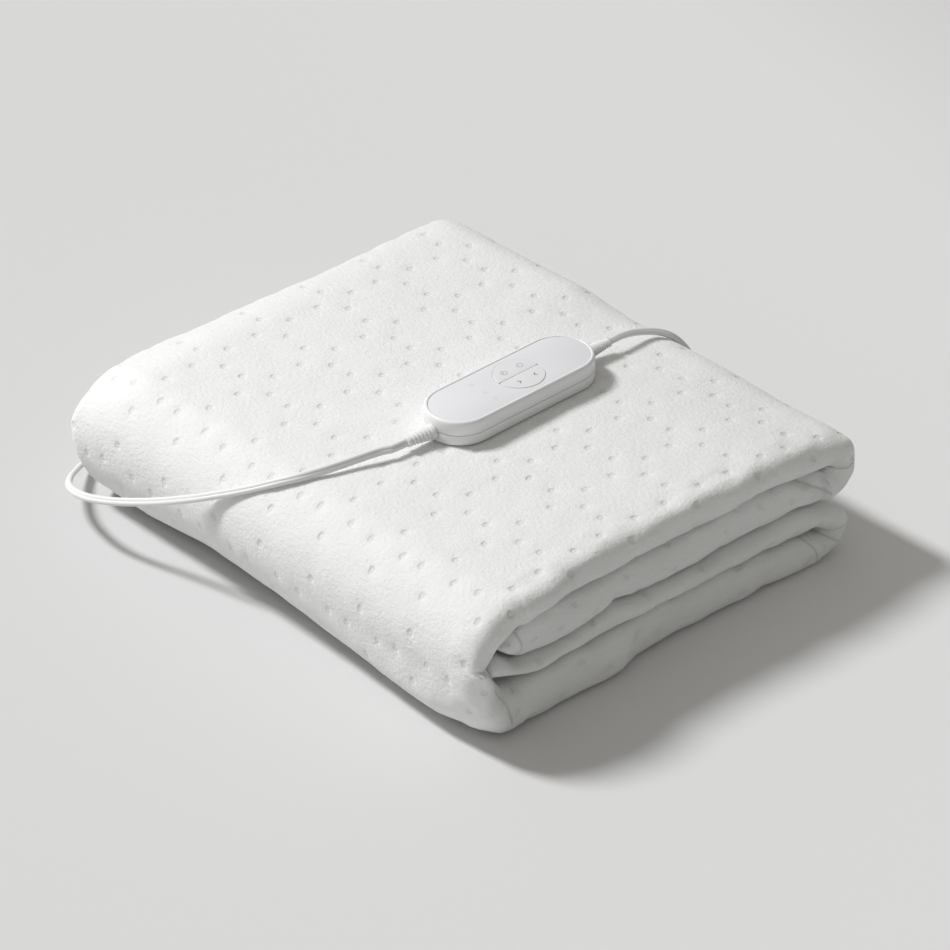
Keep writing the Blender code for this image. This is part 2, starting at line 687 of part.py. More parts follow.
# Sections of the body from the cord to the face: (along, half width, half height).
PLUG_BODY = ((0.0, 6.0 * MM, 4.6 * MM), (3 * MM, 9.0 * MM, 5.6 * MM), (9 * MM, 12.4 * MM, 6.6 * MM),
             (18 * MM, 15.6 * MM, 6.9 * MM), (27 * MM, 17.2 * MM, 6.9 * MM),
             (34 * MM, 17.6 * MM, 6.9 * MM), (36 * MM, 17.0 * MM, 6.3 * MM))


def rounded_ring(half_width, half_height, along, corner_steps=4):
    """Ring with round sides in the plug's frame: x along it, y across, z up."""
    radius = half_height * 0.92
    ring = []
    for cx, cz, start in ((1, 1, 0), (-1, 1, 90), (-1, -1, 180), (1, -1, 270)):
        for i in range(corner_steps + 1):
            angle = math.radians(start + 90 * i / corner_steps)
            y = cx * (half_width - radius) + radius * math.cos(angle)
            z = cz * (half_height - radius) + radius * math.sin(angle)
            ring.append(Vector((along, y, z)))
    return ring


def plug_frame():
    turn = Matrix.Rotation(math.radians(PLUG_TURN), 4, "Z")
    return Matrix.Translation((PLUG_X, PLUG_Y, PLUG_Z)) @ turn


def plug_relief_frame():
    """Frame of the plug's strain relief: its z axis runs out towards the cord."""
    return plug_frame() @ Matrix.Rotation(math.radians(-90.0), 4, "Y")


def make_plug():
    frame = plug_frame()
    hard = material("white plug", (0.85, 0.85, 0.85), 0.35)
    steel = material("pin metal", (0.75, 0.75, 0.76), 0.25, 1.0)
    body = loft("plug_body", [rounded_ring(w, h, x) for x, w, h in PLUG_BODY])
    add_object("plug_body", body, hard).matrix_world = frame
    side_on = Matrix.Rotation(math.radians(90.0), 4, "Y")
    relief = ((4.2 * MM, SEAT_GAP), (3.2 * MM, PLUG_RELIEF))
    mesh = loft("plug_relief", turned_rings(relief, 14))
    add_object("plug_relief", mesh, hard).matrix_world = plug_relief_frame()
    start = PLUG_BODY[-1][0] + SEAT_GAP / 3
    pin = ((PIN_RADIUS, start), (PIN_RADIUS, start + PIN_LENGTH - 1.2 * MM),
           (PIN_RADIUS * 0.55, start + PIN_LENGTH))
    for name, side in (("plug_pin_left", 1), ("plug_pin_right", -1)):
        across = Matrix.Translation((0.0, side * PIN_APART / 2, 0.0))
        mesh = loft(name, turned_rings(pin, 14))
        add_object(name, mesh, steel).matrix_world = frame @ across @ side_on


def clear_scene():
    for old in list(bpy.data.objects):
        bpy.data.objects.remove(old, do_unlink=True)


def main():
    clear_scene()
    make_blanket()
    frame = hand_frame()
    make_shells(frame)
    make_panel(frame)
    make_keys(frame)
    make_boots(frame)
    make_cords(frame)
    make_sleeve()
    make_plug()


main()
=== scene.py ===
# %% [markdown]
# # A folded electric underblanket
#
# The real object is a thick fleece underblanket, folded as it comes from the shop, with its hand
# controller on top. Nearly all of what the eye sees is one white cloth, so the likeness rests on
# how the cloth turns at its folds, on the small dimples sewn through it, and on soft light. Every
# length in this lesson is in metres, in the same frame as the solid model that it loads.

import json
import math

import bmesh
import bpy
import numpy as np
from mathutils import Matrix, Vector, noise

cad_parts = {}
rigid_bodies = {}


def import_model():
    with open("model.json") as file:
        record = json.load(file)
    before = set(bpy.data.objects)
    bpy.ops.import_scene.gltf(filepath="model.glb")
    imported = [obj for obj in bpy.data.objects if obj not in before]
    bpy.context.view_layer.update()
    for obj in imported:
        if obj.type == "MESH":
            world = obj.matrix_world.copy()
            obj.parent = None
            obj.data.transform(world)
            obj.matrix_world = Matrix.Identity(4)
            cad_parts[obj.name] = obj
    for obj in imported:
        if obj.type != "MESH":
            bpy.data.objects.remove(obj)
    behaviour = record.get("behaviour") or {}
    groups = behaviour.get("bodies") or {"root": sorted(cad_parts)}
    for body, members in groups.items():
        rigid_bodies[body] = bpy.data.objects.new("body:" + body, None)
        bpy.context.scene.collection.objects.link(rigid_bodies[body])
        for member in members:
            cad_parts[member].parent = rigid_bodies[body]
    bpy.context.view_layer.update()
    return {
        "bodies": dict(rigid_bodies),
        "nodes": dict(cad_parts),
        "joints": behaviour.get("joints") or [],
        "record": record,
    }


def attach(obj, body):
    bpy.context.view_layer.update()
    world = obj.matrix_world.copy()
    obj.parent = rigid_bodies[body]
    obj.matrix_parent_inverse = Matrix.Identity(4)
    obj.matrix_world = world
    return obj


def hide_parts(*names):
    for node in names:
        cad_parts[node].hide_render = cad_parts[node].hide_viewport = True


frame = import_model()
MM = 0.001
BODY = "blanket_and_controller"

# %% [markdown]
# ## The camera
#
# A product photograph like this one is taken from well back with a long lens, so that parallel
# folds stay nearly parallel. A camera 4.5 m away looks down at about 33 degrees, a little more
# than 45 degrees round from the big outer fold. Its lens is long enough for the blanket to fill
# the frame.

# %% Camera
TURN = math.radians(45.3)
TILT = math.radians(33.4)
SIGHT = Vector((math.sin(TURN) * math.cos(TILT), -math.cos(TURN) * math.cos(TILT), math.sin(TILT)))
LOOK_AT = Vector((17.0, 1.0, 50.0)) * MM

camera_data = bpy.data.cameras.new("camera")
camera_data.lens = 250.8
camera_data.sensor_width = 36.0
camera_data.clip_end = 60.0
camera = bpy.data.objects.new("camera", camera_data)
camera.location = LOOK_AT + SIGHT * 4.5
camera.rotation_euler = SIGHT.to_track_quat("Z", "Y").to_euler()
bpy.context.scene.collection.objects.link(camera)
bpy.context.scene.camera = camera
print("camera", [round(x, 3) for x in camera.location], "lens", camera_data.lens)

# %% [markdown]
# ## A short way to write materials
#
# A material is a graph of nodes, and a graph is hard to read as a list of links. Here a small
# class stands for one number in the graph, and Python's own signs add the Math nodes: `1 - pit *
# 0.3` makes two of them. A second class holds the graph, and its `node` method makes any other
# node.

# %% Numbers of a material as Python expressions
class Number:
    """One number in a finish; sums with it become Math nodes."""

    def __init__(self, finish, socket):
        self.finish, self.socket = finish, socket

    def __add__(self, other):
        return self.finish.maths("ADD", self, other)

    def __sub__(self, other):
        return self.finish.maths("SUBTRACT", self, other)

    def __rsub__(self, other):
        return self.finish.maths("SUBTRACT", other, self)

    def __mul__(self, other):
        return self.finish.maths("MULTIPLY", self, other)

    def __truediv__(self, other):
        return self.finish.maths("DIVIDE", self, other)

    def __rtruediv__(self, other):
        return self.finish.maths("DIVIDE", other, self)

    __radd__ = __add__
    __rmul__ = __mul__


# %% The graph of a finish
class Finish:
    """A material with its Principled shader; constant sockets are given by name."""

    def __init__(self, name, **constants):
        self.material = bpy.data.materials.new(name)
        self.material.use_nodes = True
        self.tree = self.material.node_tree
        self.shader = self.tree.nodes["Principled BSDF"]
        for socket, value in constants.items():
            self.feed(self.shader.inputs[socket.replace("_", " ")], value)

    def feed(self, socket, value):
        if isinstance(value, Number):
            value = value.socket
        if isinstance(value, bpy.types.NodeSocket):
            self.tree.links.new(value, socket)
        elif isinstance(value, (tuple, list)) and socket.type == "RGBA" and len(value) == 3:
            socket.default_value = (*value, 1.0)
        else:
            socket.default_value = value

    def node(self, kind, settings=None, **sockets):
        made = self.tree.nodes.new(kind if "Node" in kind else "ShaderNode" + kind)
        for name, value in (settings or {}).items():
            setattr(made, name, value)
        for name, value in sockets.items():
            key = int(name[1:]) if name[1:].isdigit() else name.replace("_", " ")
            self.feed(made.inputs[key], value)
        return made

    def maths(self, operation, a, b=0.0, c=0.0):
        made = self.node("Math", {"operation": operation}, _0=a, _1=b, _2=c)
        return Number(self, made.outputs[0])

    def step(self, value, low, high):
        """Smooth 0 to 1 as value goes from low to high."""
        settings = {"interpolation_type": "SMOOTHSTEP"}
        made = self.node("MapRange", settings, Value=value, From_Min=low, From_Max=high)
        return Number(self, made.outputs[0])

    def place(self):
        """Coordinates on the piece, in metres."""
        return self.node("TexCoord").outputs["Object"]

    def noise(self, where, scale, detail=2.0, rough=0.5):
        made = self.node("TexNoise", {}, Vector=where, Scale=scale, Detail=detail, Roughness=rough)
        return Number(self, made.outputs[0])

    def relief(self, height):
        """Bump from a height in metres."""
        made = self.node("Bump", {}, Height=height, Distance=1.0, Strength=1.0)
        self.feed(self.shader.inputs["Normal"], made.outputs[0])

    def set(self, **sockets):
        for name, value in sockets.items():
            self.feed(self.shader.inputs[name.replace("_", " ")], value)
        return self.material


print("helpers ready")

# %% [markdown]
# ## Moulded white plastics
#
# The controller, the cords and the plug are all white, and they tell themselves apart by their
# gloss. A hard moulded shell has an almost even surface with a faint orange-peel waviness, and a
# soft sleeve or a cord jacket is duller. One function makes them all from a few numbers.

# %% Plastics
def plastic(name, shade, roughness, peel, grain=0.0, coat=0.0):
    """White plastic: peel is the depth of its slow waviness and grain of its fine texture."""
    made = Finish(name, Coat_Roughness=0.12)
    where = made.place()
    slow = made.noise(where, 90.0, 2.0)
    fine = made.noise(where, 1400.0, 2.0)
    tone = made.noise(where, 35.0, 3.0)
    mottle = (tone - 0.5) * 0.03
    colour = made.node("CombineColor", {}, Red=shade[0] + mottle, Green=shade[1] + mottle,
                       Blue=shade[2] + mottle).outputs[0]
    made.relief(slow * peel + fine * grain)
    return made.set(Base_Color=colour, Roughness=roughness + (fine - 0.5) * 0.08, Coat_Weight=coat)


shell_white = plastic("shell white", (0.875, 0.875, 0.89), 0.4, 0.00003, coat=0.1)
cord_white = plastic("cord white", (0.79, 0.79, 0.785), 0.42, 0.00003, 0.00001)
soft_white = plastic("soft white", (0.80, 0.80, 0.80), 0.5, 0.00003, 0.00001)
plug_white = plastic("plug white", (0.80, 0.80, 0.80), 0.4, 0.00003, 0.00002)
print("plastics", [m.name for m in (shell_white, cord_white, soft_white, plug_white)])

# %% [markdown]
# ## The two cords
#
# Both cords are flat twin leads: two round cores side by side in one jacket, with a shallow
# groove between them. A plain tube would lose the groove and the way the flat side catches light,
# so each cord is swept ring by ring: a small outline of two lobes is carried along the route, and
# its flat side is kept towards a chosen direction. The routes are those of the solid model.

# %% Smooth routes
def spline_point(points, place):
    """Point of a smooth curve through all the points, at a place counted in points."""
    last = len(points) - 1
    i = min(int(place), last - 1)
    t = place - i
    before = points[i - 1] if i > 0 else points[0] * 2 - points[1]
    after = points[i + 2] if i + 2 <= last else points[last] * 2 - points[last - 1]
    start, end = points[i], points[i + 1]
    out, into = (end - before) / 2, (after - start) / 2
    square, cube = t * t, t * t * t
    return (start * (2 * cube - 3 * square + 1) + out * (cube - 2 * square + t)
            + end * (3 * square - 2 * cube) + into * (cube - square))


def even_route(points, spacing):
    """Points one spacing apart along the smooth curve through the given points."""
    fine = np.array([spline_point(points, i / 16) for i in range(16 * (len(points) - 1) + 1)])
    walked = np.r_[0.0, np.cumsum(np.linalg.norm(np.diff(fine, axis=0), axis=1))]
    target = np.linspace(0.0, walked[-1], max(2, round(walked[-1] / spacing)) + 1)
    return np.stack([np.interp(target, walked, fine[:, k]) for k in range(3)], 1)


def route_length(route):
    return float(np.linalg.norm(np.diff(route, axis=0), axis=1).sum())


# %% Pieces from rings of points
def finished(name, mesh, finish, smooth_angle=None, body=BODY):
    """Object at the origin that rides on its body."""
    made = bpy.data.objects.new(name, mesh)
    bpy.context.scene.collection.objects.link(made)
    mesh.materials.clear()
    mesh.materials.append(finish)
    mesh.shade_smooth()
    if smooth_angle is not None:
        mesh.set_sharp_from_angle(angle=math.radians(smooth_angle))
    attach(made, body)
    return made


def ring_mesh(name, rings, closed=False):
    """Mesh through equal rings of points, capped at both ends unless the rings close up."""
    rings = np.asarray(rings, float)
    rows, count = rings.shape[:2]
    i = np.arange(rows if closed else rows - 1)[:, None] * count
    j = np.arange(count)[None, :]
    k = (j + 1) % count
    up = (i + count) % (rows * count)
    faces = np.stack([i + j, i + k, up + k, up + j], -1).reshape(-1, 4).tolist()
    if not closed:
        faces += [list(range(count))[::-1], list(range((rows - 1) * count, rows * count))]
    mesh = bpy.data.meshes.new(name)
    mesh.from_pydata(rings.reshape(-1, 3).tolist(), [], faces)
    outwards(mesh)
    return mesh


def outwards(mesh):
    """Turns every face outwards."""
    bm = bmesh.new()
    bm.from_mesh(mesh)
    bmesh.ops.recalc_face_normals(bm, faces=bm.faces)
    if bm.calc_volume(signed=True) < 0:
        bmesh.ops.reverse_faces(bm, faces=bm.faces)
    bm.to_mesh(mesh)
    bm.free()


# %% Twin outline carried along a route
def twin_outline(width, thick, drop=0.0, steps=9):
    """Outline of two lobes as (across, out) pairs, with its middle lowered by drop."""
    radius = thick / 2
    apart = width / 2 - radius
    reach = math.pi - math.acos(apart / radius)
    right = [(apart + radius * math.cos(a), radius * math.sin(a) - drop)
             for a in np.linspace(-reach, reach, steps)]
    left = [(-x, z) for x, z in reversed(right)]
    return right + left


def sweep(route, outline, outward):
    """Rings along a route; outward holds the direction of the flat side at each point."""
    way = np.gradient(route, axis=0)
    way /= np.linalg.norm(way, axis=1)[:, None]
    across = np.cross(way, outward)
    across /= np.linalg.norm(across, axis=1)[:, None]
    out = np.cross(across, way)
    flat = np.array(outline)
    return (route[:, None] + across[:, None] * flat[None, :, :1] + out[:, None] * flat[None, :, 1:])


def describe_cord(name, route):
    """Prints a cord's length and its tightest bend."""
    bends = np.gradient(np.gradient(route, axis=0), axis=0)
    step = np.linalg.norm(np.gradient(route, axis=0), axis=1)
    tightest = float((step ** 2 / np.maximum(np.linalg.norm(bends, axis=1), 1e-12))[3:-3].min())
    print(f"{name}: {route_length(route):.3f} m, tightest bend {tightest * 1000:.0f} mm")


# %% [markdown]
# The lead leaves the controller's near end, runs over the big fold, hangs round the open corner
# in one loose loop and goes into the cloth. Its broad side shows all the way, so it is turned to
# face up and towards the viewer. Its end inside the cloth can't be seen.

# %% Lead from the controller to the cloth
LEAD_WIDTH, LEAD_THICK = 6.0 * MM, 3.9 * MM
LEAD_ROUTE = (
    (16.9, -88.1, 110.2), (12.4, -102.3, 109.3), (7.7, -116.2, 108.0), (2.6, -129.7, 106.8),
    (-4.0, -142.4, 105.0), (-14.0, -152.1, 101.0), (-26.1, -158.9, 94.6), (-38.5, -165.0, 88.3),
    (-52.4, -171.0, 81.7), (-66.8, -176.2, 74.8), (-83.2, -179.7, 66.9), (-100.0, -181.8, 58.7),
    (-116.9, -184.4, 51.4), (-133.2, -188.0, 45.6), (-146.2, -190.4, 41.6), (-160.3, -191.7, 37.6),
    (-172.5, -189.7, 33.4), (-184.3, -185.9, 29.3), (-196.1, -179.9, 25.3), (-205.6, -171.8, 21.4),
    (-213.8, -162.4, 17.6), (-221.0, -151.8, 13.8), (-226.6, -142.4, 11.0), (-231.0, -133.0, 8.6),
    (-234.6, -122.6, 6.6), (-237.4, -110.0, 5.0), (-238.8, -96.0, 4.2), (-238.6, -82.0, 4.1),
    (-236.8, -68.4, 4.8), (-233.2, -55.6, 6.6),
)
HAND_LENGTH, HAND_WIDTH = 142 * MM, 49.6 * MM
SEAT_GAP = 0.3 * MM
BOOT_LENGTH = 22 * MM
BOOT_TURNS = {-1: 4.0, 1: 0.0}
SLEEVE_LENGTH = 27 * MM
hand_frame = Matrix.Translation(Vector((26.1, 24.9, 103.2)) * MM) @ Matrix.Rotation(
    math.radians(-1.7), 4, "Z")


def boot_frame(side):
    """Frame of a strain relief of the controller: its z axis runs out of the controller's end."""
    reach = Matrix.Translation((0.0, side * (HAND_LENGTH / 2 + SEAT_GAP), 7.2 * MM))
    pulled = Matrix.Rotation(math.radians(side * BOOT_TURNS[side]), 4, "Z")
    return hand_frame @ reach @ pulled @ Matrix.Rotation(math.radians(-90.0 * side), 4, "X")


def sleeve_way(share):
    """Direction of the sleeve, which bends from its root in the cloth to its tip."""
    turn = math.radians(-6.0 + 66.0 * share)
    dip = math.radians(10.0 * share)
    level = Vector((-math.cos(turn), -math.sin(turn), 0.0))
    return level * math.cos(dip) - Vector((0.0, 0.0, math.sin(dip)))


def sleeve_point(share):
    point = Vector((-198.1, -15.0, 14.5)) * MM
    for i in range(round(share * 24)):
        point += sleeve_way((i + 0.5) / 24) * SLEEVE_LENGTH / 24
    return point


def tip_points(frame, tip, diameter):
    """Two points on a strain relief's axis: just off its tip, and two diameters further out."""
    start = tip + SEAT_GAP
    return [frame @ Vector((0.0, 0.0, start)), frame @ Vector((0.0, 0.0, start + 2 * diameter))]


def route_between(start, route, end, spacing=2.5 * MM):
    middle = start[1:] + [Vector(point) * MM for point in route] + end[:1]
    even = even_route(middle, spacing)
    return np.vstack([np.array(start[:1]).reshape(-1, 3), even, np.array(end[1:]).reshape(-1, 3)])


def blended_hints(route, stops):
    """A direction for each point of a route, from (share of the route, direction) stops."""
    share = np.linspace(0.0, 1.0, len(route))
    where = [stop[0] for stop in stops]
    ways = np.array([Vector(stop[1]).normalized() for stop in stops])
    return np.stack([np.interp(share, where, ways[:, k]) for k in range(3)], 1)


sleeve_tip = Matrix.Translation(sleeve_point(1.0)) @ sleeve_way(1.0).to_track_quat(
    "Z", "Y").to_matrix().to_4x4()
lead_route = route_between(tip_points(boot_frame(-1), BOOT_LENGTH, LEAD_WIDTH), LEAD_ROUTE,
                           tip_points(sleeve_tip, 0.0, LEAD_WIDTH)[::-1])
lead_hints = blended_hints(lead_route, (
    (0.0, (0.8, 0, 0.6)), (0.12, (0.8, 0, 0.6)), (0.24, (0.5, -0.6, 0.7)), (0.45, (0, -1, 0.75)),
    (0.66, (-0.2, -1, 0.9)), (0.80, (-0.8, -0.2, 1)), (1.0, (-0.5, 0, 1))))
lead_rings = sweep(lead_route, twin_outline(LEAD_WIDTH, LEAD_THICK, 0.6 * MM), lead_hints)
lead = finished("lead", ring_mesh("lead", lead_rings), cord_white, 60.0)
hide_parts("lead_cord")
describe_cord("lead", lead_route)

# %% [markdown]
# The mains lead goes over the back and down behind the folds. Only its first bend can be seen,
# and the whole is taken as 1.85 m, as such an underblanket has. It is wound into a neat coil on
# the floor: nine turns, three beside each other in three layers, each turn climbing a little to
# meet the next.

# %% Mains lead with its coil
MAINS_WIDTH, MAINS_THICK = 5.0 * MM, 3.9 * MM
COIL = Vector((-4.0, 212.0, 0.0))
MAINS_ROUTE = (
    (29.6, 138.4, 108.8), (30.6, 147.0, 106.4), (32.2, 155.4, 103.9), (34.4, 163.2, 100.7),
    (36.8, 169.9, 96.6), (39.2, 176.0, 90.8), (42.6, 181.8, 82.0), (47.0, 186.0, 71.0),
    (51.4, 188.7, 59.2), (54.6, 190.2, 46.6), (55.2, 190.4, 34.4), (52.8, 189.6, 23.2),
    (47.4, 187.8, 14.2), (40.0, 185.4, 7.8), (31.8, 182.6, 4.2),
    (23.4, 180.2, 3.0), (15.3, 179.0, 2.9),
)
MAINS_TAIL = ((-23.3, 179.0, 12.9), (-32.2, 179.7, 11.8), (-41.4, 181.9, 9.2))
COIL_PLACES = ((33, 2.9), (28, 2.9), (23, 2.9), (23, 7.9), (23, 12.9), (28, 12.9), (28, 7.9),
               (33, 7.9), (33, 12.9))
COIL_STEPS = 24


def coil_route():
    """Nine turns, each at its own radius and height, and each eased into the next."""
    points = []
    for turn, (radius, height) in enumerate(COIL_PLACES):
        following = COIL_PLACES[min(turn + 1, len(COIL_PLACES) - 1)]
        for i in range(COIL_STEPS):
            share = max(0.0, (i / COIL_STEPS - 0.72) / 0.28)
            ease = share * share * (3 - 2 * share)
            reach = radius + (following[0] - radius) * ease
            angle = -math.tau * i / COIL_STEPS - math.pi / 2
            points.append((COIL.x + reach * math.cos(angle), COIL.y + reach * math.sin(angle),
                           height + (following[1] - height) * ease))
    return points


plug_frame = Matrix.Translation(Vector((-75.5, 193.0, 7.2)) * MM) @ Matrix.Rotation(
    math.radians(162.0), 4, "Z")
plug_relief = plug_frame @ Matrix.Rotation(math.radians(-90.0), 4, "Y")
mains_start = tip_points(boot_frame(1), BOOT_LENGTH, MAINS_WIDTH)
mains_end = tip_points(plug_relief, 16 * MM, MAINS_WIDTH)[::-1]
mains_route = route_between(mains_start, MAINS_ROUTE[:-1] + tuple(coil_route()) + MAINS_TAIL,
                            mains_end, 3.0 * MM)
mains_hints = blended_hints(mains_route, (
    (0.0, (0.8, 0, 0.6)), (0.02, (0.8, 0, 0.6)), (0.05, (1, 0.6, 0.5)), (0.08, (1, 0.6, 0)),
    (0.11, (0, 0.2, 1)), (1.0, (0, 0, 1))))
mains_rings = sweep(mains_route, twin_outline(MAINS_WIDTH, MAINS_THICK), mains_hints)
mains = finished("mains", ring_mesh("mains", mains_rings), cord_white, 60.0)
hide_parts("mains_cord", "mains_coil", "mains_tail")
describe_cord("mains", mains_route)
# %% [markdown]
# ## The folded cloth
#
# The blanket is one strip of doubled cloth: a rounded lip on the right, open edges on the left.
# Both ends are folded to the middle and the whole is folded once more round the front, so that
# its section is a spiral of four layers. A cloth simulation would have to be talked into these
# neat folds, so the strip is built from the section itself. Each station of the section gives a
# point of the strip's inner and outer surface. The numbers are those of the solid model.

# %% Sizes of the fold
UPPER_EDGE_X, LOWER_EDGE_X, EDGE_BULGE = -218 * MM, -202 * MM, 4.5 * MM
LIP_X, LIP_DEPTH = 204 * MM, 15 * MM
FRONT_Y, UPPER_BACK_Y, LOWER_BACK_Y = -180 * MM, 180 * MM, 169 * MM
LAYER_GAP, PLY_GAP, FOLD_HOLLOW = 1.3 * MM, 1.6 * MM, 2.6 * MM
BOTTOM_TOP = 29 * MM
THIRD_LOW, THIRD_TOP = 30.3 * MM, 47.8 * MM
SECOND_LOW, SECOND_TOP = 49.1 * MM, 73.1 * MM
TOP_LOW, HEIGHT = 74.4 * MM, 102.9 * MM
WRAP_REACH, WRAP_HOLLOW, WRAP_SQUARE = 46 * MM, 16 * MM, 2.25
WRAP_Y = FRONT_Y + WRAP_REACH
PINCH, PINCH_ANGLE, PINCH_SPAN = 17 * MM, math.pi - 0.34, 0.30

# How the two free ends puff up to fill the hollow of the wrap: (y, lowest z, highest z).
SECOND_END = np.array(((-149.0, 63.0, 68.0), (-145.0, 60.0, 70.0), (-138.0, 54.5, 72.0),
                       (-128.0, 49.4, 73.1), (-115.0, 49.1, 73.1))) * MM
THIRD_END = np.array(((-161.0, 53.0, 57.0), (-157.0, 49.0, 60.5), (-151.0, 46.0, 60.6),
                      (-144.0, 42.5, 56.5), (-136.0, 38.0, 50.5), (-128.0, 33.0, 48.2),
                      (-118.0, 30.3, 47.8))) * MM

# The lips as they lie: at each y, how far those of the top, middle and bottom layers are set back,
# and how far the creases under the top, second and third layers are lifted.
LIPS = np.array(((-180, 0, 0, 0, 0, 0, 0), (-160, 1, 2, 0, 4, -1, 2), (-130, 4, 4, 3, 6.9, -3.0, 3.6),
                 (-102, 8, 5, 3.5, 7.2, -3.8, 2.7), (-83, 9, 5, 3.5, 4.7, -2.2, 3.5),
                 (-65, 8, 5, 2, 5.6, 1.1, 1.9), (-46, 8, 6, 1.5, 4.8, 4.2, 3.3),
                 (-27, 7, 5, 8, 4.9, 0.2, 5.1), (-8, 7, 5, 9, 2.4, -0.6, 5.1),
                 (11, 6, 5, 9.5, 1.7, -2.2, 2.7), (30, 5, 4, 8.5, 2.7, -2.9, 2.0),
                 (49, 6, 4, 8.5, 2.6, -4.6, 2.0), (69, 6, 4, 6.5, 4.2, -4.6, 0.3),
                 (88, 6, 4, 7.5, 3.4, -2.9, -0.5), (107, 4.5, 4, 5.5, 4.8, -2.1, -3.7),
                 (126, 3.5, 4, 4.5, 4.9, 0.3, -4.6), (145, 2, 3, 5, 5.5, -2.8, -2.8),
                 (164, 0, 0, 2, 5.0, 0, 0), (180, 0, 0, 0, 0, 0, 0))) * MM
WRAP_FRONT = np.array(((10, -149), (22.5, -151), (28, -152.5), (41, -157.5), (54, -163),
                       (64, -169.5))) * MM
FRONT_FOOT = np.array(((-144, 0), (-81, 5), (-33, 3.5), (16, 0), (64, -3), (112, -8), (141, -10),
                       (160, -10), (185, -5), (210, -3))) * MM
CREASES = np.array((0.0, 29.6, 48.5, 73.7, 102.9)) * MM
LIP_LEVELS = np.array((26.0, 33.0, 70.0, 77.0)) * MM

# At the back end of the lips the cloth is tucked in like a gusset: (y, upper edge, lower edge).
UPPER_TUCK = np.array(((118, 79, 78.5), (126, 78.5, 72.0), (135, 77.8, 66.3), (145, 75.5, 59.7),
                       (152, 74, 53), (163, 71.3, 49), (173, 72.3, 47))) * MM
LOWER_TUCK = np.array(((127, 28.7, 28.2), (139, 28, 27.5), (147.4, 26, 21.6), (157.7, 26, 13.5),
                       (166, 28, 8))) * MM
UPPER_FOLD_REACH, LOWER_FOLD_REACH = 31 * MM, 26 * MM
UPPER_EDGE_SLANT, LOWER_EDGE_SLANT, UPPER_LIP_SLANT, LOWER_LIP_SLANT = 0.102, 0.050, 0.012, 0.026
FRONT_SKEW, FRONT_SPAN = 0.045, 120 * MM
OPEN_EDGE_DROP, OPEN_EDGE_SPAN, BACK_REACH = 0.12, 70 * MM, 90 * MM
BACK_PROFILE = np.array(((-203, 0.012), (-53, 0.015), (2, -0.035), (82, -0.04), (162, -0.075),
                         (247, -0.085))) * (MM, 1.0)


# %% Stations along the strip
def smooth(value):
    value = np.clip(value, 0.0, 1.0)
    return value * value * (3.0 - 2.0 * value)


def mix(a, b, share):
    return a + (b - a) * share


def back_gap(y, fold_y):
    """Half height of the air between two layers, wider just inside a back fold."""
    return mix(LAYER_GAP / 2, FOLD_HOLLOW, smooth(1.0 - (fold_y - y) / (18 * MM)))


def arc(centre, reach, half, angle, square=2.0):
    """(y, z) points of a superellipse."""
    cos, sin = np.cos(angle), np.sin(angle)
    return (centre[0] + reach * np.sign(cos) * np.abs(cos) ** (2 / square),
            centre[1] + half * np.sign(sin) * np.abs(sin) ** (2 / square))


def stretch(inner, outer, upper, stand_out, count):
    """Rows of (inner y, inner z, outer y, outer z, upper, stand out)."""
    columns = [*inner, *outer, upper, stand_out]
    return np.stack([np.broadcast_to(column, (count,)) for column in columns], 1)


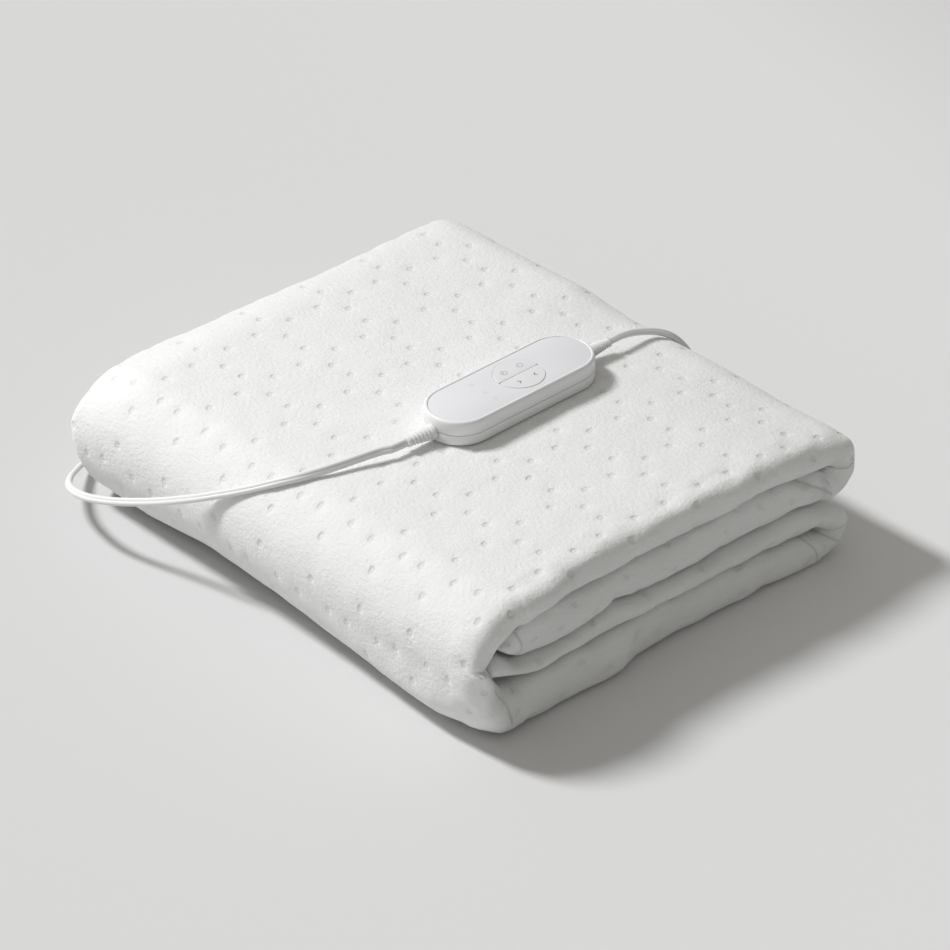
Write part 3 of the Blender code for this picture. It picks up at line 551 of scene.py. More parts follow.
def section(steps):
    """The whole strip from the free end of the second layer to that of the third."""
    fold_y, low_fold_y = UPPER_BACK_Y - UPPER_FOLD_REACH, LOWER_BACK_Y - LOWER_FOLD_REACH
    gap_z, low_gap_z = (SECOND_TOP + TOP_LOW) / 2, (BOTTOM_TOP + THIRD_LOW) / 2
    second, fold, top, wrap, bottom, low_fold, third = steps
    y = mix(SECOND_END[0, 0], fold_y, np.linspace(0.0, 1.0, second + 1) ** 1.3)
    low, high = (np.interp(y, SECOND_END[:, 0], SECOND_END[:, k]) for k in (1, 2))
    high = np.minimum(high, gap_z - back_gap(y, fold_y))
    rows = [stretch((y, high), (y, low), 1.0, -2.5 * MM, second + 1)]
    angle = math.pi * (np.arange(1, fold) / fold - 0.5)
    rows.append(stretch(arc((fold_y, gap_z), FOLD_HOLLOW, FOLD_HOLLOW, angle),
                        arc((fold_y, (SECOND_LOW + HEIGHT) / 2), UPPER_FOLD_REACH,
                            (HEIGHT - SECOND_LOW) / 2, angle, 2.2), 1.0, 2.0 * MM, fold - 1))
    y = np.linspace(fold_y, WRAP_Y, top + 1)
    rows.append(stretch((y, gap_z + back_gap(y, fold_y)), (y, HEIGHT), 1.0, 2.0 * MM, top + 1))
    angle = math.pi * (0.5 + np.arange(1, wrap) / wrap)
    hollow = WRAP_HOLLOW + PINCH * np.exp(-np.abs(angle - PINCH_ANGLE) / PINCH_SPAN)
    rows.append(stretch(arc((WRAP_Y, (TOP_LOW + BOTTOM_TOP) / 2), hollow,
                            (TOP_LOW - BOTTOM_TOP) / 2, angle, WRAP_SQUARE),
                        arc((WRAP_Y, HEIGHT / 2), WRAP_REACH, HEIGHT / 2, angle, WRAP_SQUARE),
                        1.0 - np.arange(1, wrap) / wrap, 0.0, wrap - 1))
    y = np.linspace(WRAP_Y, low_fold_y, bottom + 1)
    rows.append(stretch((y, low_gap_z - back_gap(y, low_fold_y)), (y, 0.0), 0.0, 1.0 * MM,
                        bottom + 1))
    angle = math.pi * (np.arange(1, low_fold) / low_fold - 0.5)
    rows.append(stretch(arc((low_fold_y, low_gap_z), FOLD_HOLLOW, FOLD_HOLLOW, angle),
                        arc((low_fold_y, THIRD_TOP / 2), LOWER_FOLD_REACH, THIRD_TOP / 2, angle, 2.2),
                        0.0, 0.0, low_fold - 1))
    y = mix(low_fold_y, THIRD_END[0, 0], 1.0 - (1.0 - np.linspace(0.0, 1.0, third + 1)) ** 1.3)
    low, high = (np.interp(y, THIRD_END[:, 0], THIRD_END[:, k]) for k in (1, 2))
    low = np.maximum(low, low_gap_z + back_gap(y, low_fold_y))
    rows.append(stretch((y, low), (y, high), 0.0, -3.0 * MM, third + 1))
    return np.concatenate(rows), np.repeat(np.arange(7), [len(row) for row in rows])


STEPS = (88, 38, 122, 74, 80, 32, 88)
stations, layer_of = section(STEPS)
print("stations", len(stations), "by layer", np.bincount(layer_of).tolist())

# %% [markdown]
# Across the strip, each station is an outline: the outer ply from its open edge to the lip, round
# the lip, back along the inner ply, and in and out of the air between the plies. Each open edge
# is rounded as a turned hem. Only faces that can be seen get the fine columns, about 2 mm apart,
# that the dimples need; hidden ones get a few.

# %% Outline across the strip
FINE, COARSE, HIDDEN, LIP_STEPS, HEM_STEPS = 186, 36, 12, 18, 6
HEM_REACH = 7 * MM
LIP_ROUND = 0.68


def across(columns, thick):
    """Columns of one station: rows of (share across, share of thickness, lip depth, order)."""
    gap = PLY_GAP / thick / 2
    hem = HEM_REACH / (LIP_X - UPPER_EDGE_X)
    turn = np.linspace(-math.pi / 2, math.pi / 2, HEM_STEPS + 1)[1:-1]
    centre, half = 0.75 + gap / 2, 0.25 - gap / 2
    rows = [(hem * (1 - math.cos(a)), centre + half * math.sin(a), 0.0) for a in turn]
    rows += [(share, 1.0, 0.0) for share in np.linspace(hem, 1.0, columns)]
    for a in math.pi * np.arange(1, LIP_STEPS) / LIP_STEPS:
        rows.append((1.0, 0.5 + 0.5 * math.cos(a), math.sin(a) ** LIP_ROUND))
    rows += [(share, 0.0, 0.0) for share in np.linspace(1.0, hem, HIDDEN)]
    rows += [(hem * (1 - math.cos(a)), 0.5 - centre + 0.5 + half * math.sin(a), 0.0) for a in turn]
    rows += [(share, 0.5 - gap, 0.0) for share in np.linspace(hem, 1.0, HIDDEN)]
    rows += [(share, 0.5 + gap, 0.0) for share in np.linspace(1.0, hem, HIDDEN)]
    order = np.concatenate([np.linspace(k, k + 1, n, endpoint=False) for k, n in enumerate(
        (len(turn), columns, LIP_STEPS - 1, HIDDEN, len(turn), HIDDEN, HIDDEN))])
    return np.column_stack([rows, order])


def lip_wave(y, z):
    """Slow in and out of the lips, as uneven as loosely folded cloth, still at the bottom."""
    return smooth(z / 0.045) * (1.8 * np.sin(31 * y + 60 * z) + 1.2 * np.sin(67 * y - 110 * z)) * MM


def edge_wave(y, z):
    return (1.4 * np.sin(26 * y - 75 * z + 2) + 1.2 * np.sin(58 * y + 40 * z)) * MM


def settled(x, y):
    """Share of its full height that the stack keeps at (x, y)."""
    open_edge = smooth((UPPER_EDGE_X + OPEN_EDGE_SPAN - x) / OPEN_EDGE_SPAN)
    at = np.clip(np.searchsorted(BACK_PROFILE[:, 0], x) - 1, 0, len(BACK_PROFILE) - 2)
    (x0, low), (x1, high) = BACK_PROFILE[at].T, BACK_PROFILE[at + 1].T
    back = smooth((y - UPPER_BACK_Y) / BACK_REACH + 1.1)
    risen = back * mix(low, high, smooth((x - x0) / (x1 - x0)))
    return 1.0 - OPEN_EDGE_DROP * open_edge ** 2 + risen


def lip_rows(y, z):
    """Set-back and lift of the lips at (y, z)."""
    top, middle, bottom, *lifts = (np.interp(y, LIPS[:, 0], column) for column in LIPS.T[1:])
    upper, lower = (smooth((z - low) / (high - low))
                    for low, high in (LIP_LEVELS[2:], LIP_LEVELS[:2]))
    back = mix(mix(bottom, middle, lower), top, upper)
    lift = sum(value * np.interp(z, CREASES[k:k + 3], (0, 1, 0))
               for k, value in zip((2, 1, 0), lifts))
    return back, lift


def tucked(y, z, tuck, fade):
    """How far a gusset is pressed in at (y, z): fully at its point, and nothing where it opens."""
    high, low = (np.interp(y, tuck[:, 0], tuck[:, k]) for k in (1, 2))
    within = smooth((high - z) / (2.2 * MM)) * smooth((z - low) / (2.2 * MM))
    ahead = (y > tuck[0, 0]) & (y < tuck[-1, 0] + 12 * MM)
    return 4.5 * MM * within * ahead * (1.0 - smooth((y - tuck[0, 0]) / fade))


def place(station, share, height, bulge):
    """Points of the blanket from a station and their places in its outline."""
    inner_y, inner_z, outer_y, outer_z, upper, stand_out = station
    y, z = mix(inner_y, outer_y, height), mix(inner_z, outer_z, height)
    along = y - FRONT_Y
    left = (mix(LOWER_EDGE_X, UPPER_EDGE_X, upper)
            + along * mix(LOWER_EDGE_SLANT, UPPER_EDGE_SLANT, upper))
    left = left - EDGE_BULGE * np.sin(math.pi * smooth(along / (UPPER_BACK_Y - FRONT_Y)))
    back, lift = lip_rows(y, z)
    wrap = smooth((WRAP_Y - y) / (25 * MM))
    depth = LIP_DEPTH + 6 * MM * wrap
    over = smooth((np.interp(z, *WRAP_FRONT.T) - y) / (2.4 * MM) + 0.5)
    proud = over * mix(1.5, 4.0, smooth((z - 8 * MM) / (20 * MM))) * MM * (z < 64 * MM)
    right = LIP_X + along * mix(LOWER_LIP_SLANT, UPPER_LIP_SLANT, upper) + stand_out - depth - back
    x = mix(left + edge_wave(y, z), right + lip_wave(y, z), share) + bulge * (depth + proud)
    z = z + lift * smooth((x - 110 * MM) / (70 * MM))
    tuck = tucked(y, z, UPPER_TUCK, 50 * MM) + tucked(y, z, LOWER_TUCK, 38 * MM)
    x = x - tuck * smooth((x - 185 * MM) / (8 * MM))
    foot = smooth((50 * MM - z) / (38 * MM)) * smooth((-120 * MM - y) / (30 * MM))
    y = y + foot * np.interp(x, *FRONT_FOOT.T)
    y = y + FRONT_SKEW * smooth(1.0 - along / FRONT_SPAN) * (LIP_X - x)
    return np.stack([x, y, z * settled(x, y)], 1)


# %% Rings of points with cloth coordinates
FINE_LAYERS = (1, 2, 3, 5)
rings, orders = [], []
for station, layer in zip(stations, layer_of):
    thick = math.dist(station[:2], station[2:4])
    columns = across(FINE if layer in FINE_LAYERS else COARSE, thick)
    rings.append(place(station, *columns[:, :3].T))
    orders.append(columns[:, 3])


def round_free_end(near, reach=6 * MM):
    """Brings the rings at a free end to the middle of each ply, as the turned end of a hem."""
    walked = 0.0
    for k, following in zip(near, near[1:]):
        station = stations[k]
        gap = PLY_GAP / math.dist(station[:2], station[2:4]) / 2
        columns = across(COARSE, math.dist(station[:2], station[2:4]))
        ply = np.where(columns[:, 1] > 0.5, 0.75 + gap / 2, 0.25 - gap / 2)
        lip = (columns[:, 3] >= 2) & (columns[:, 3] < 3)
        ply[lip] = mix(0.5, columns[lip, 1], 0.5)
        bulge = np.where(lip, columns[:, 2] * 0.5, 0.0)
        middle = place(station, columns[:, 0], ply, bulge)
        left = 1.0 - min(1.0, walked / reach)
        share = 1.0 - math.sqrt(max(0.0, 1.0 - left * left))
        rings[k] = mix(rings[k], middle, 0.86 * share)
        walked += math.dist(stations[k][2:4], stations[following][2:4])


round_free_end(range(0, 8))
round_free_end(range(len(rings) - 1, len(rings) - 9, -1))
print("points", sum(len(ring) for ring in rings))


# %% Faces between the rings
def zipped(first, second, a, b):
    """Faces between two closed rings: quads where they match, triangles where one is finer."""
    n, m = len(a), len(b)
    if n == m:
        i = np.arange(n)
        j = (i + 1) % n
        return np.stack([first + i, first + j, second + j, second + i], 1).tolist()
    faces, i, j = [], 0, 0
    while i < n or j < m:
        ahead = a[i + 1] if i + 1 < n else 7.0
        other = b[j + 1] if j + 1 < m else 7.0
        if j >= m or (i < n and ahead <= other):
            faces.append((first + i, first + (i + 1) % n, second + j % m))
            i += 1
        else:
            faces.append((first + i % n, second + (j + 1) % m, second + j))
            j += 1
    return faces


def end_cap(first, order):
    """Closes a free end between its outer side and the air between its plies."""
    k = np.searchsorted(order, 5.0)
    outside, inside = np.arange(k), np.arange(k, len(order))[::-1]
    faces, i, j = [], 0, 0
    while i < len(outside) - 1 or j < len(inside) - 1:
        if j == len(inside) - 1 or (i < len(outside) - 1 and i / len(outside) <= j / len(inside)):
            faces.append((outside[i], outside[i + 1], inside[j]))
            i += 1
        else:
            faces.append((outside[i], inside[j + 1], inside[j]))
            j += 1
    return [[first + int(v) for v in face] for face in faces]


starts = np.r_[0, np.cumsum([len(ring) for ring in rings])]
faces = []
for k in range(len(rings) - 1):
    faces += zipped(int(starts[k]), int(starts[k + 1]), orders[k], orders[k + 1])
faces += end_cap(0, orders[0])
faces += [face[::-1] for face in end_cap(int(starts[-2]), orders[-1])]
points = np.concatenate(rings)
print("faces", len(faces), "triangles", sum(len(face) - 2 for face in faces))
# %% [markdown]
# The dimples are sewn in groups of four, in rows that bow a little. To place them, each point
# gets its cloth coordinates: how far across and how far along the strip it lies. From these
# follow its row and column in the quilting, which is what both the mesh and the fleece finish
# read.

# %% Cloth and quilting coordinates
order = np.concatenate(orders)
ring_of = np.repeat(np.arange(len(rings)), [len(ring) for ring in rings])
probe = np.linspace(0.0, 1.0, 33)
lines = np.stack([place(station, probe, np.ones(33), np.zeros(33)) for station in stations])
walked = np.zeros(lines.shape[:2])
walked[1:] = np.cumsum(np.linalg.norm(np.diff(lines, axis=0), axis=2), axis=0)
walked -= walked[np.searchsorted(layer_of, 2)]
share = np.concatenate([
    across(FINE if layer in FINE_LAYERS else COARSE, math.dist(s[:2], s[2:4]))[:, 0]
    for s, layer in zip(stations, layer_of)])
at = np.clip(share, 0.0, 1.0) * 32
low = np.minimum(at.astype(int), 31)
along = mix(walked[ring_of, low], walked[ring_of, low + 1], at - low)
step = np.r_[0.0, np.linalg.norm(np.diff(points, axis=0), axis=1)]
step[(order < 2) | (order >= 3)] = 0.0
round_lip = np.cumsum(step) - np.r_[0.0, np.cumsum(step)][starts[ring_of]]
lip_line = lines[ring_of, -1, 0]
wide = np.where(order < 2, points[:, 0], np.where(order < 3, lip_line + round_lip,
                2 * lip_line + round_lip - points[:, 0]))
x, w = wide * 10, np.clip(along, -0.3, 0.9) * 10
column = 2.8479 + 2.113 * x + 0.296 * w + 0.0073 * x * x - 0.0318 * x * w - 0.0593 * w * w
row = 3.3651 + 0.0077 * x - 1.9507 * w - 0.0291 * x * x + 0.0192 * x * w + 0.0514 * w * w
row -= (along * 10 - w) * 1.95
for label, values in (("columns", column), ("rows", row)):
    print(label, "from", values.min().round(1), "to", values.max().round(1))

# %% [markdown]
# A dimple is where a stitch pulls both faces of the cloth together: a small pit, a soft bowl
# round it, and between the dimples the fleece swells. The mesh carries the bowls and the
# swelling, so that they also show in outline, and the finish adds the pits and the nap.

# %% Relief of the quilting
PITCH = (47 * MM, 51 * MM)
REACH = (0.305, 0.28)


def dimple_distance(column, row):
    """Distance to the nearest dimple of the nearest group of four."""
    i, j = np.round(column), np.round(row)
    x = (column - i - 0.022 * np.sin(2.4 * i + 5.1 * j)) * PITCH[0]
    y = (row - j - 0.022 * np.sin(4.3 * i + 1.7 * j)) * PITCH[1]
    return np.minimum(np.hypot(np.abs(x) - REACH[0] * PITCH[0], y),
                      np.hypot(x, np.abs(y) - REACH[1] * PITCH[1]))


def uneven(where, size, seed):
    """Smooth noise of about -1 to 1 with features of this size."""
    shift = Vector((seed * 7.31, seed * 3.7, seed * 1.9))
    return np.array([noise.noise(Vector(p) / size + shift) for p in where])


far = dimple_distance(column, row)
bowl = -0.35 * MM * np.exp(-(far / (3.3 * MM)) ** 2) - 0.25 * MM * np.exp(-(far / (7 * MM)) ** 2)
seen = np.isin(layer_of[ring_of], FINE_LAYERS) & (order < 3) | (order >= 1.9) & (order < 3)
swell = 0.7 * MM * uneven(points, 55 * MM, 1) + 0.35 * MM * uneven(points, 17 * MM, 2)
tufts = 0.10 * MM * uneven(points, 3.2 * MM, 3)
at_lip = smooth((points[:, 0] - 172 * MM) / (14 * MM)) * (order >= 1.9) * (order < 3)
puckers = 0.9 * MM * at_lip * uneven(points * (1.0, 0.6, 1.0), 11 * MM, 4)
relief = np.where(seen, bowl * (1.0 + at_lip) + swell + tufts + puckers, 0.3 * bowl)
hand = np.abs((points - np.array(hand_frame.translation)) @ np.array(hand_frame.to_3x3()))
beside = np.hypot(np.clip(hand[:, 0] - 22 * MM, 0, 1), np.clip(hand[:, 1] - 68 * MM, 0, 1))
pressed = (1.0 - smooth(beside / (9 * MM))) * (points[:, 2] > 90 * MM)
relief = mix(relief, -0.2 * MM + np.minimum(relief, 0.0), pressed)
print("relief from", round(relief.min() * 1000, 2), "to", round(relief.max() * 1000, 2), "mm")

# %% [markdown]
# A few sharp creases are finer than the mesh: the edge of the wrap over the bottom layer, the
# seam of the turned end, and the folds of the tucks. Each point near one stores the way to the
# nearest crease, which blends well between the points, and the finish draws the thin line from
# that: a shallow dent in the bump and a line of painted shade in the colour.

# %% Thin creases on the lips
THIN_CREASES = (
    ((118, 79), (135, 77.8), (145, 75.5), (163, 71.3), (173, 72.3)),
    ((120, 77.4), (125.5, 72.5), (135, 66.5), (146, 59), (152, 53)),
    ((127, 28.7), (139, 28), (147.4, 21.6), (157.7, 13.5), (166, 8)),
    ((142, 26.5), (152, 24.3), (159, 26.7), (165, 28)),
    ((131, 24), (136, 17), (138.5, 10), (140, 3)),
    ((-169.5, 65), (-163, 54), (-157.5, 41), (-152.5, 28), (-151, 22.5), (-149, 12)),
    ((-141, 82), (-136.5, 75), (-133.5, 66), (-132.5, 58)))


def way_to_creases(where, creases):
    """(y, z) offsets of the points from their nearest crease line."""
    best = np.full(len(where), np.inf)
    way = np.zeros((len(where), 2))
    for crease in creases:
        for start, end in zip(np.array(crease) * MM, np.array(crease[1:]) * MM):
            run = end - start
            share = np.clip(((where - start) @ run) / (run @ run), 0.0, 1.0)
            offset = where - start - share[:, None] * run
            distance = np.hypot(*offset.T)
            way[distance < best] = offset[distance < best]
            best = np.minimum(best, distance)
    return way, best


way, nearest = way_to_creases(points[:, 1:], THIN_CREASES)
by_crease = at_lip * (1.0 - smooth((nearest - 3 * MM) / (3 * MM)))

# %% The cloth as one mesh
FOLD_FULLNESS, FULLEST_HEIGHT, FULL_FROM, FULL_SPAN = 5.0 * MM, 70 * MM, 110 * MM, 70 * MM
at_front = smooth((-points[:, 1] - FULL_FROM) / FULL_SPAN)
off_fullest = np.clip((points[:, 2] - FULLEST_HEIGHT) / FULLEST_HEIGHT, -1.0, 1.0)
points[:, 1] -= FOLD_FULLNESS * at_front * np.cos(off_fullest * math.pi / 2) ** 2
cloth = bpy.data.meshes.new("underblanket")
cloth.from_pydata(points.tolist(), [], faces)
outwards(cloth)
facing = np.zeros(len(points) * 3)
cloth.vertex_normals.foreach_get("vector", facing)
moved = points + facing.reshape(-1, 3) * relief[:, None]
moved[:, 2] = np.maximum(moved[:, 2], 0.0)
cloth.vertices.foreach_set("co", moved.ravel())
corner = np.zeros(len(cloth.loops), int)
cloth.loops.foreach_get("vertex_index", corner)
for name, pair in (("cloth", (wide, along)), ("quilting", (column, row))):
    layer = cloth.uv_layers.new(name=name)
    layer.uv.foreach_set("vector", np.stack(pair, 1)[corner].astype(np.float32).ravel())
crease_data = cloth.attributes.new("crease", "FLOAT_VECTOR", "POINT")
crease_values = np.column_stack([way * 1000, by_crease]).astype(np.float32)
crease_data.data.foreach_set("vector", crease_values.ravel())
print("area", round(sum(p.area for p in cloth.polygons), 3), "m2, vertices", len(cloth.vertices))

# %% [markdown]
# ## Fleece
#
# Brushed fleece is matt and slightly furry: short fibres lie over each other in loose strokes.
# The pits are dents in the bump, and their colour is darkened a little as painted shade. They are
# drawn from the quilting coordinates with the same sums as in the mesh, so both fall on the same
# spots.

# %% Fleece finish
fleece = Finish("white fleece", Roughness=0.95, Sheen_Weight=0.25, Sheen_Roughness=0.6,
                Specular_IOR_Level=0.2, Subsurface_Weight=0.5, Subsurface_Scale=0.004,
                Subsurface_Radius=(1.0, 1.0, 1.0))
quilt_map = fleece.node("UVMap", {"uv_map": "quilting"}).outputs[0]
quilt = fleece.node("SeparateXYZ", {}, Vector=quilt_map)
quilt_column, quilt_row = (Number(fleece, quilt.outputs[k]) for k in (0, 1))
i, j = fleece.maths("ROUND", quilt_column), fleece.maths("ROUND", quilt_row)
dx = (quilt_column - i - fleece.maths("SINE", i * 2.4 + j * 5.1) * 0.022) * PITCH[0]
dy = (quilt_row - j - fleece.maths("SINE", i * 4.3 + j * 1.7) * 0.022) * PITCH[1]
ax = fleece.maths("ABSOLUTE", dx) - REACH[0] * PITCH[0]
ay = fleece.maths("ABSOLUTE", dy) - REACH[1] * PITCH[1]
first = fleece.maths("SQRT", ax * ax + dy * dy)
second = fleece.maths("SQRT", dx * dx + ay * ay)
stroke = fleece.node("UVMap", {"uv_map": "cloth"}).outputs[0]
fibre_place = fleece.node("Mapping", {}, Vector=stroke, Scale=(1.0, 0.35, 1.0), Rotation=(0, 0, 0.5))
cross_place = fleece.node("Mapping", {}, Vector=stroke, Scale=(0.4, 1.0, 1.0), Rotation=(0, 0, 0.3))
fibres = fleece.noise(fibre_place.outputs[0], 900.0, 3.0, 0.65)
crossing = fleece.noise(cross_place.outputs[0], 620.0, 2.0, 0.6)
clumps = fleece.noise(stroke, 300.0, 3.0, 0.6)
patches = fleece.noise(fleece.place(), 28.0, 3.0)
near = fleece.maths("MINIMUM", first, second) + (clumps - 0.5) * 0.0008
# Pit mask: a dent in the bump, and painted shade that darkens the colour in the pit.
pit_dent_and_shade = 1 - fleece.step(near, 1.0 * MM, 3.3 * MM)
tuft = 1 - fleece.step(near, 0.1 * MM, 2.0 * MM)
way_to = fleece.node("SeparateXYZ", {}, Vector=fleece.node(
    "Attribute", {"attribute_name": "crease"}).outputs["Vector"])
off_y, off_z, by_fold = (Number(fleece, way_to.outputs[k]) for k in range(3))
off = fleece.maths("SQRT", off_y * off_y + off_z * off_z)
# Crease mask: a thin dent in the bump, and a line of painted shade in the colour.
fold = by_fold * (1 - fleece.step(off, 0.1, 1.5))
# Colour: painted shade in the pits and along the thin creases, plus random tone from clumps and
# patches.
tone = 1 - pit_dent_and_shade * 0.05 - fold * 0.14 + (clumps - 0.5) * 0.06 + (patches - 0.5) * 0.04
shade = fleece.node("CombineColor", {}, Red=tone * 0.835, Green=tone * 0.84, Blue=tone * 0.835)
nap = fibres * 0.0005 + crossing * 0.0004 + clumps * 0.0007
fleece.relief(nap - pit_dent_and_shade * 0.00078 + tuft * 0.0002 - fold * 0.0008)
fleece.set(Base_Color=shade.outputs[0])

# %% The cloth as a piece on its body
blanket = finished("underblanket", cloth, fleece.material)
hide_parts("blanket")

# %% [markdown]
# ## Hand controller
#
# The controller is a flat moulded case with round ends. Two shells meet in a thin parting line, a
# grey panel is let into the top, and a round pad in the panel is split into two keys. Each of
# these is a loft: one outline, again and again, a little smaller or higher. Here every outline is
# met by even rays from the middle of the pad, so that the round hole for the pad is one more
# outline of the loft.

# %% Outlines of the controller
ROUND_END = (HAND_LENGTH - HAND_WIDTH) / 2
PAD_MIDDLE = Vector((0.0, 8.7)) * MM
PAD_RADIUS = 18.1
PANEL_INSET, PANEL_TOP = 3.5, 18.05
WELL_FLOOR = 12.6
RAYS = 192


def case_outline(inset, height):
    """Outline with straight sides and round ends; inset from the widest one, both in mm."""
    radius = HAND_WIDTH / 2 - inset * MM
    ring = []
    for i in range(RAYS):
        angle = math.tau * (i + 0.5) / RAYS
        way = Vector((math.cos(angle), math.sin(angle)))
        point = PAD_MIDDLE + way * radius / abs(way.x)
        if abs(point.y) > ROUND_END:
            off = PAD_MIDDLE - Vector((0.0, math.copysign(ROUND_END, point.y)))
            along = off.dot(way)
            chord = math.sqrt(along ** 2 - off.length_squared + radius ** 2) - along
            point = PAD_MIDDLE + way * chord
        ring.append(hand_frame @ Vector((*point, height * MM)))
    return ring


def pad_outline(radius, height):
    """Circle round the middle of the pad, in mm."""
    return [hand_frame @ Vector((PAD_MIDDLE.x + radius * MM * math.cos(math.tau * (i + 0.5) / RAYS),
                                 PAD_MIDDLE.y + radius * MM * math.sin(math.tau * (i + 0.5) / RAYS),
                                 height * MM)) for i in range(RAYS)]


print("controller outline:", len(case_outline(0, 0)), "points")

# %% The two shells
# Pairs of (inset, height), from the bottom edge to the parting line and from there to the rim.
LOWER_CASE = ((2.2, 0.0), (1.1, 0.1), (0.5, 0.4), (0.15, 0.9), (0.0, 1.7), (0.0, 3.6), (0.0, 7.55),
              (0.1, 7.8), (0.4, 7.9))
UPPER_CASE = ((0.4, 8.3), (0.1, 8.4), (0.0, 8.65), (0.04, 12.0), (0.14, 14.8), (0.34, 16.4),
              (0.65, 17.3), (1.1, 17.95), (1.6, 18.3), (2.2, 18.45), (2.7, 18.4), (3.1, 18.25),
              (3.32, 17.9), (3.35, 16.7))

lower_rings = [case_outline(*pair) for pair in LOWER_CASE]
lower = finished("hand_lower_case", ring_mesh("hand_lower_case", lower_rings), shell_white, 40.0)
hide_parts("hand_lower_shell")
well = [pad_outline(PAD_RADIUS + 0.25, 16.7), pad_outline(PAD_RADIUS + 0.25, WELL_FLOOR)]
upper_rings = [case_outline(*pair) for pair in UPPER_CASE] + well
upper = finished("hand_upper_case", ring_mesh("hand_upper_case", upper_rings), shell_white, 40.0)
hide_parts("hand_upper_shell")

# %% [markdown]
# The panel is a stiff film with a faint cool grey. Three small windows near its end let the level
# lamps shine through; unlit, they are only a little darker and more violet than the film round
# them. They have no edge, so they belong to the finish: the place on the piece is turned into the
# controller's own frame, and the distance to each window gives a soft mask.

# %% Panel
WINDOWS = ((-11.0, -24.5), (1.5, -24.3), (11.5, -24.0))
panel_film = Finish("pale grey panel", Coat_Weight=0.05, Coat_Roughness=0.3)
turn_back = hand_frame.inverted()
own = panel_film.node("Mapping", {}, Vector=panel_film.place(), Location=tuple(turn_back.translation),
                      Rotation=tuple(turn_back.to_euler()))
own_place = panel_film.node("SeparateXYZ", {}, Vector=own.outputs[0])
own_x, own_y = (Number(panel_film, own_place.outputs[k]) for k in (0, 1))
window = 0.0
for middle_x, middle_y in WINDOWS:
    off_x, off_y = (own_x - middle_x * MM) / 3.0, (own_y - middle_y * MM) / 2.2
    spread = panel_film.maths("SQRT", off_x * off_x + off_y * off_y)
    window = (1 - panel_film.step(spread, 0.2 * MM, 1.1 * MM)) + window
film_grain = panel_film.noise(panel_film.place(), 1600.0)
film_tone = 1 - window * 0.09 + (panel_film.noise(panel_film.place(), 40.0) - 0.5) * 0.02
film_shade = panel_film.node("CombineColor", {}, Red=film_tone * 0.785, Green=film_tone * 0.785,
                             Blue=film_tone * 0.81 + window * 0.02)
panel_film.relief(film_grain * 0.000004)
panel_film.set(Base_Color=film_shade.outputs[0], Roughness=0.5 + (film_grain - 0.5) * 0.08)
PANEL_LOW = 16.8
panel_rings = [case_outline(PANEL_INSET + more, height) for more, height in (
    (0.0, PANEL_LOW), (0.0, PANEL_TOP - 0.15), (0.06, PANEL_TOP - 0.04), (0.2, PANEL_TOP))]
panel_rings += [pad_outline(PAD_RADIUS + more, height) for more, height in (
    (0.35, PANEL_TOP), (0.16, PANEL_TOP - 0.2), (0.16, PANEL_LOW))]
panel = finished("panel", ring_mesh("panel", panel_rings, closed=True), panel_film.material, 30.0)
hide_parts("hand_panel")

# %% [markdown]
# Each key is half of the pad. It stands a little proud of the panel, and its edge is rounded, so
# that the pad shows as a light line where the edge meets the light and as a dark one on the other
# side.

# %% Keys
KEY_LOW, KEY_TOP = 13.2, 18.4
KEY_EDGE = ((0.0, KEY_LOW), (0.0, KEY_TOP - 0.45), (0.06, KEY_TOP - 0.24), (0.18, KEY_TOP - 0.1),
            (0.36, KEY_TOP - 0.02), (0.6, KEY_TOP))
key_white = plastic("key white", (0.785, 0.785, 0.805), 0.42, 0.00002, 0.000004)


def key_outline(side, inset, height, steps=48):
    """Half of the pad at one side of the split, with small round corners; in mm."""
    radius, flat = PAD_RADIUS - inset, 0.14 + 0.7 * inset
    reach = math.acos(min(1.0, flat / radius))
    corner = 0.9 - min(inset, 0.6)
    ring = []
    for i in range(steps + 1):
        angle = -reach + 2 * reach * i / steps
        x, y = radius * math.cos(angle), radius * math.sin(angle)
        round_off = max(0.0, 1.0 - (abs(abs(angle) - reach) * radius) / corner)
        trim = corner * round_off ** 2
        ring.append((x + 0.4 * trim, y * (1.0 - 0.3 * trim / radius)))
    for i in range(1, 12):
        ring.append((flat, ring[steps][1] + (ring[0][1] - ring[steps][1]) * i / 12))
    return [hand_frame @ Vector((PAD_MIDDLE.x + side * x * MM, PAD_MIDDLE.y + side * y * MM,
                                 height * MM)) for x, y in ring]


def make_key(name, side, node, body):
    key_rings = [key_outline(side, *pair) for pair in KEY_EDGE]
    key = finished(name, ring_mesh(name, key_rings), key_white, 35.0, body=body)
    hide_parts(node)
    return key


make_key("power_timer_key_pad", -1, "key_power_timer", "power_timer_key")
make_key("up_down_key_pad", 1, "key_up_down", "up_down_key")

# %% [markdown]
# Small marks are printed on the keys: a power sign, a clock for the timer, and an arrow up and
# one down. Print this small needs a crisp edge from close by, so each stroke is a thin flat
# ribbon laid on the key, and it rides with the key. The signs are read from the end where the
# lead comes in.

# %% Marks on the keys
mark_ink = Finish("mark ink", Roughness=0.6)
ink_wear = mark_ink.noise(mark_ink.place(), 900.0)
ink_shade = mark_ink.node("CombineColor", {}, Red=ink_wear * 0.05 + 0.30,
                          Green=ink_wear * 0.05 + 0.30, Blue=ink_wear * 0.05 + 0.33)
mark_ink.set(Base_Color=ink_shade.outputs[0])


def mark_arc(x, y, radius, start, end, steps=20):
    turns = [math.radians(start + (end - start) * i / steps) for i in range(steps + 1)]
    return [(x + radius * math.cos(turn), y + radius * math.sin(turn)) for turn in turns]


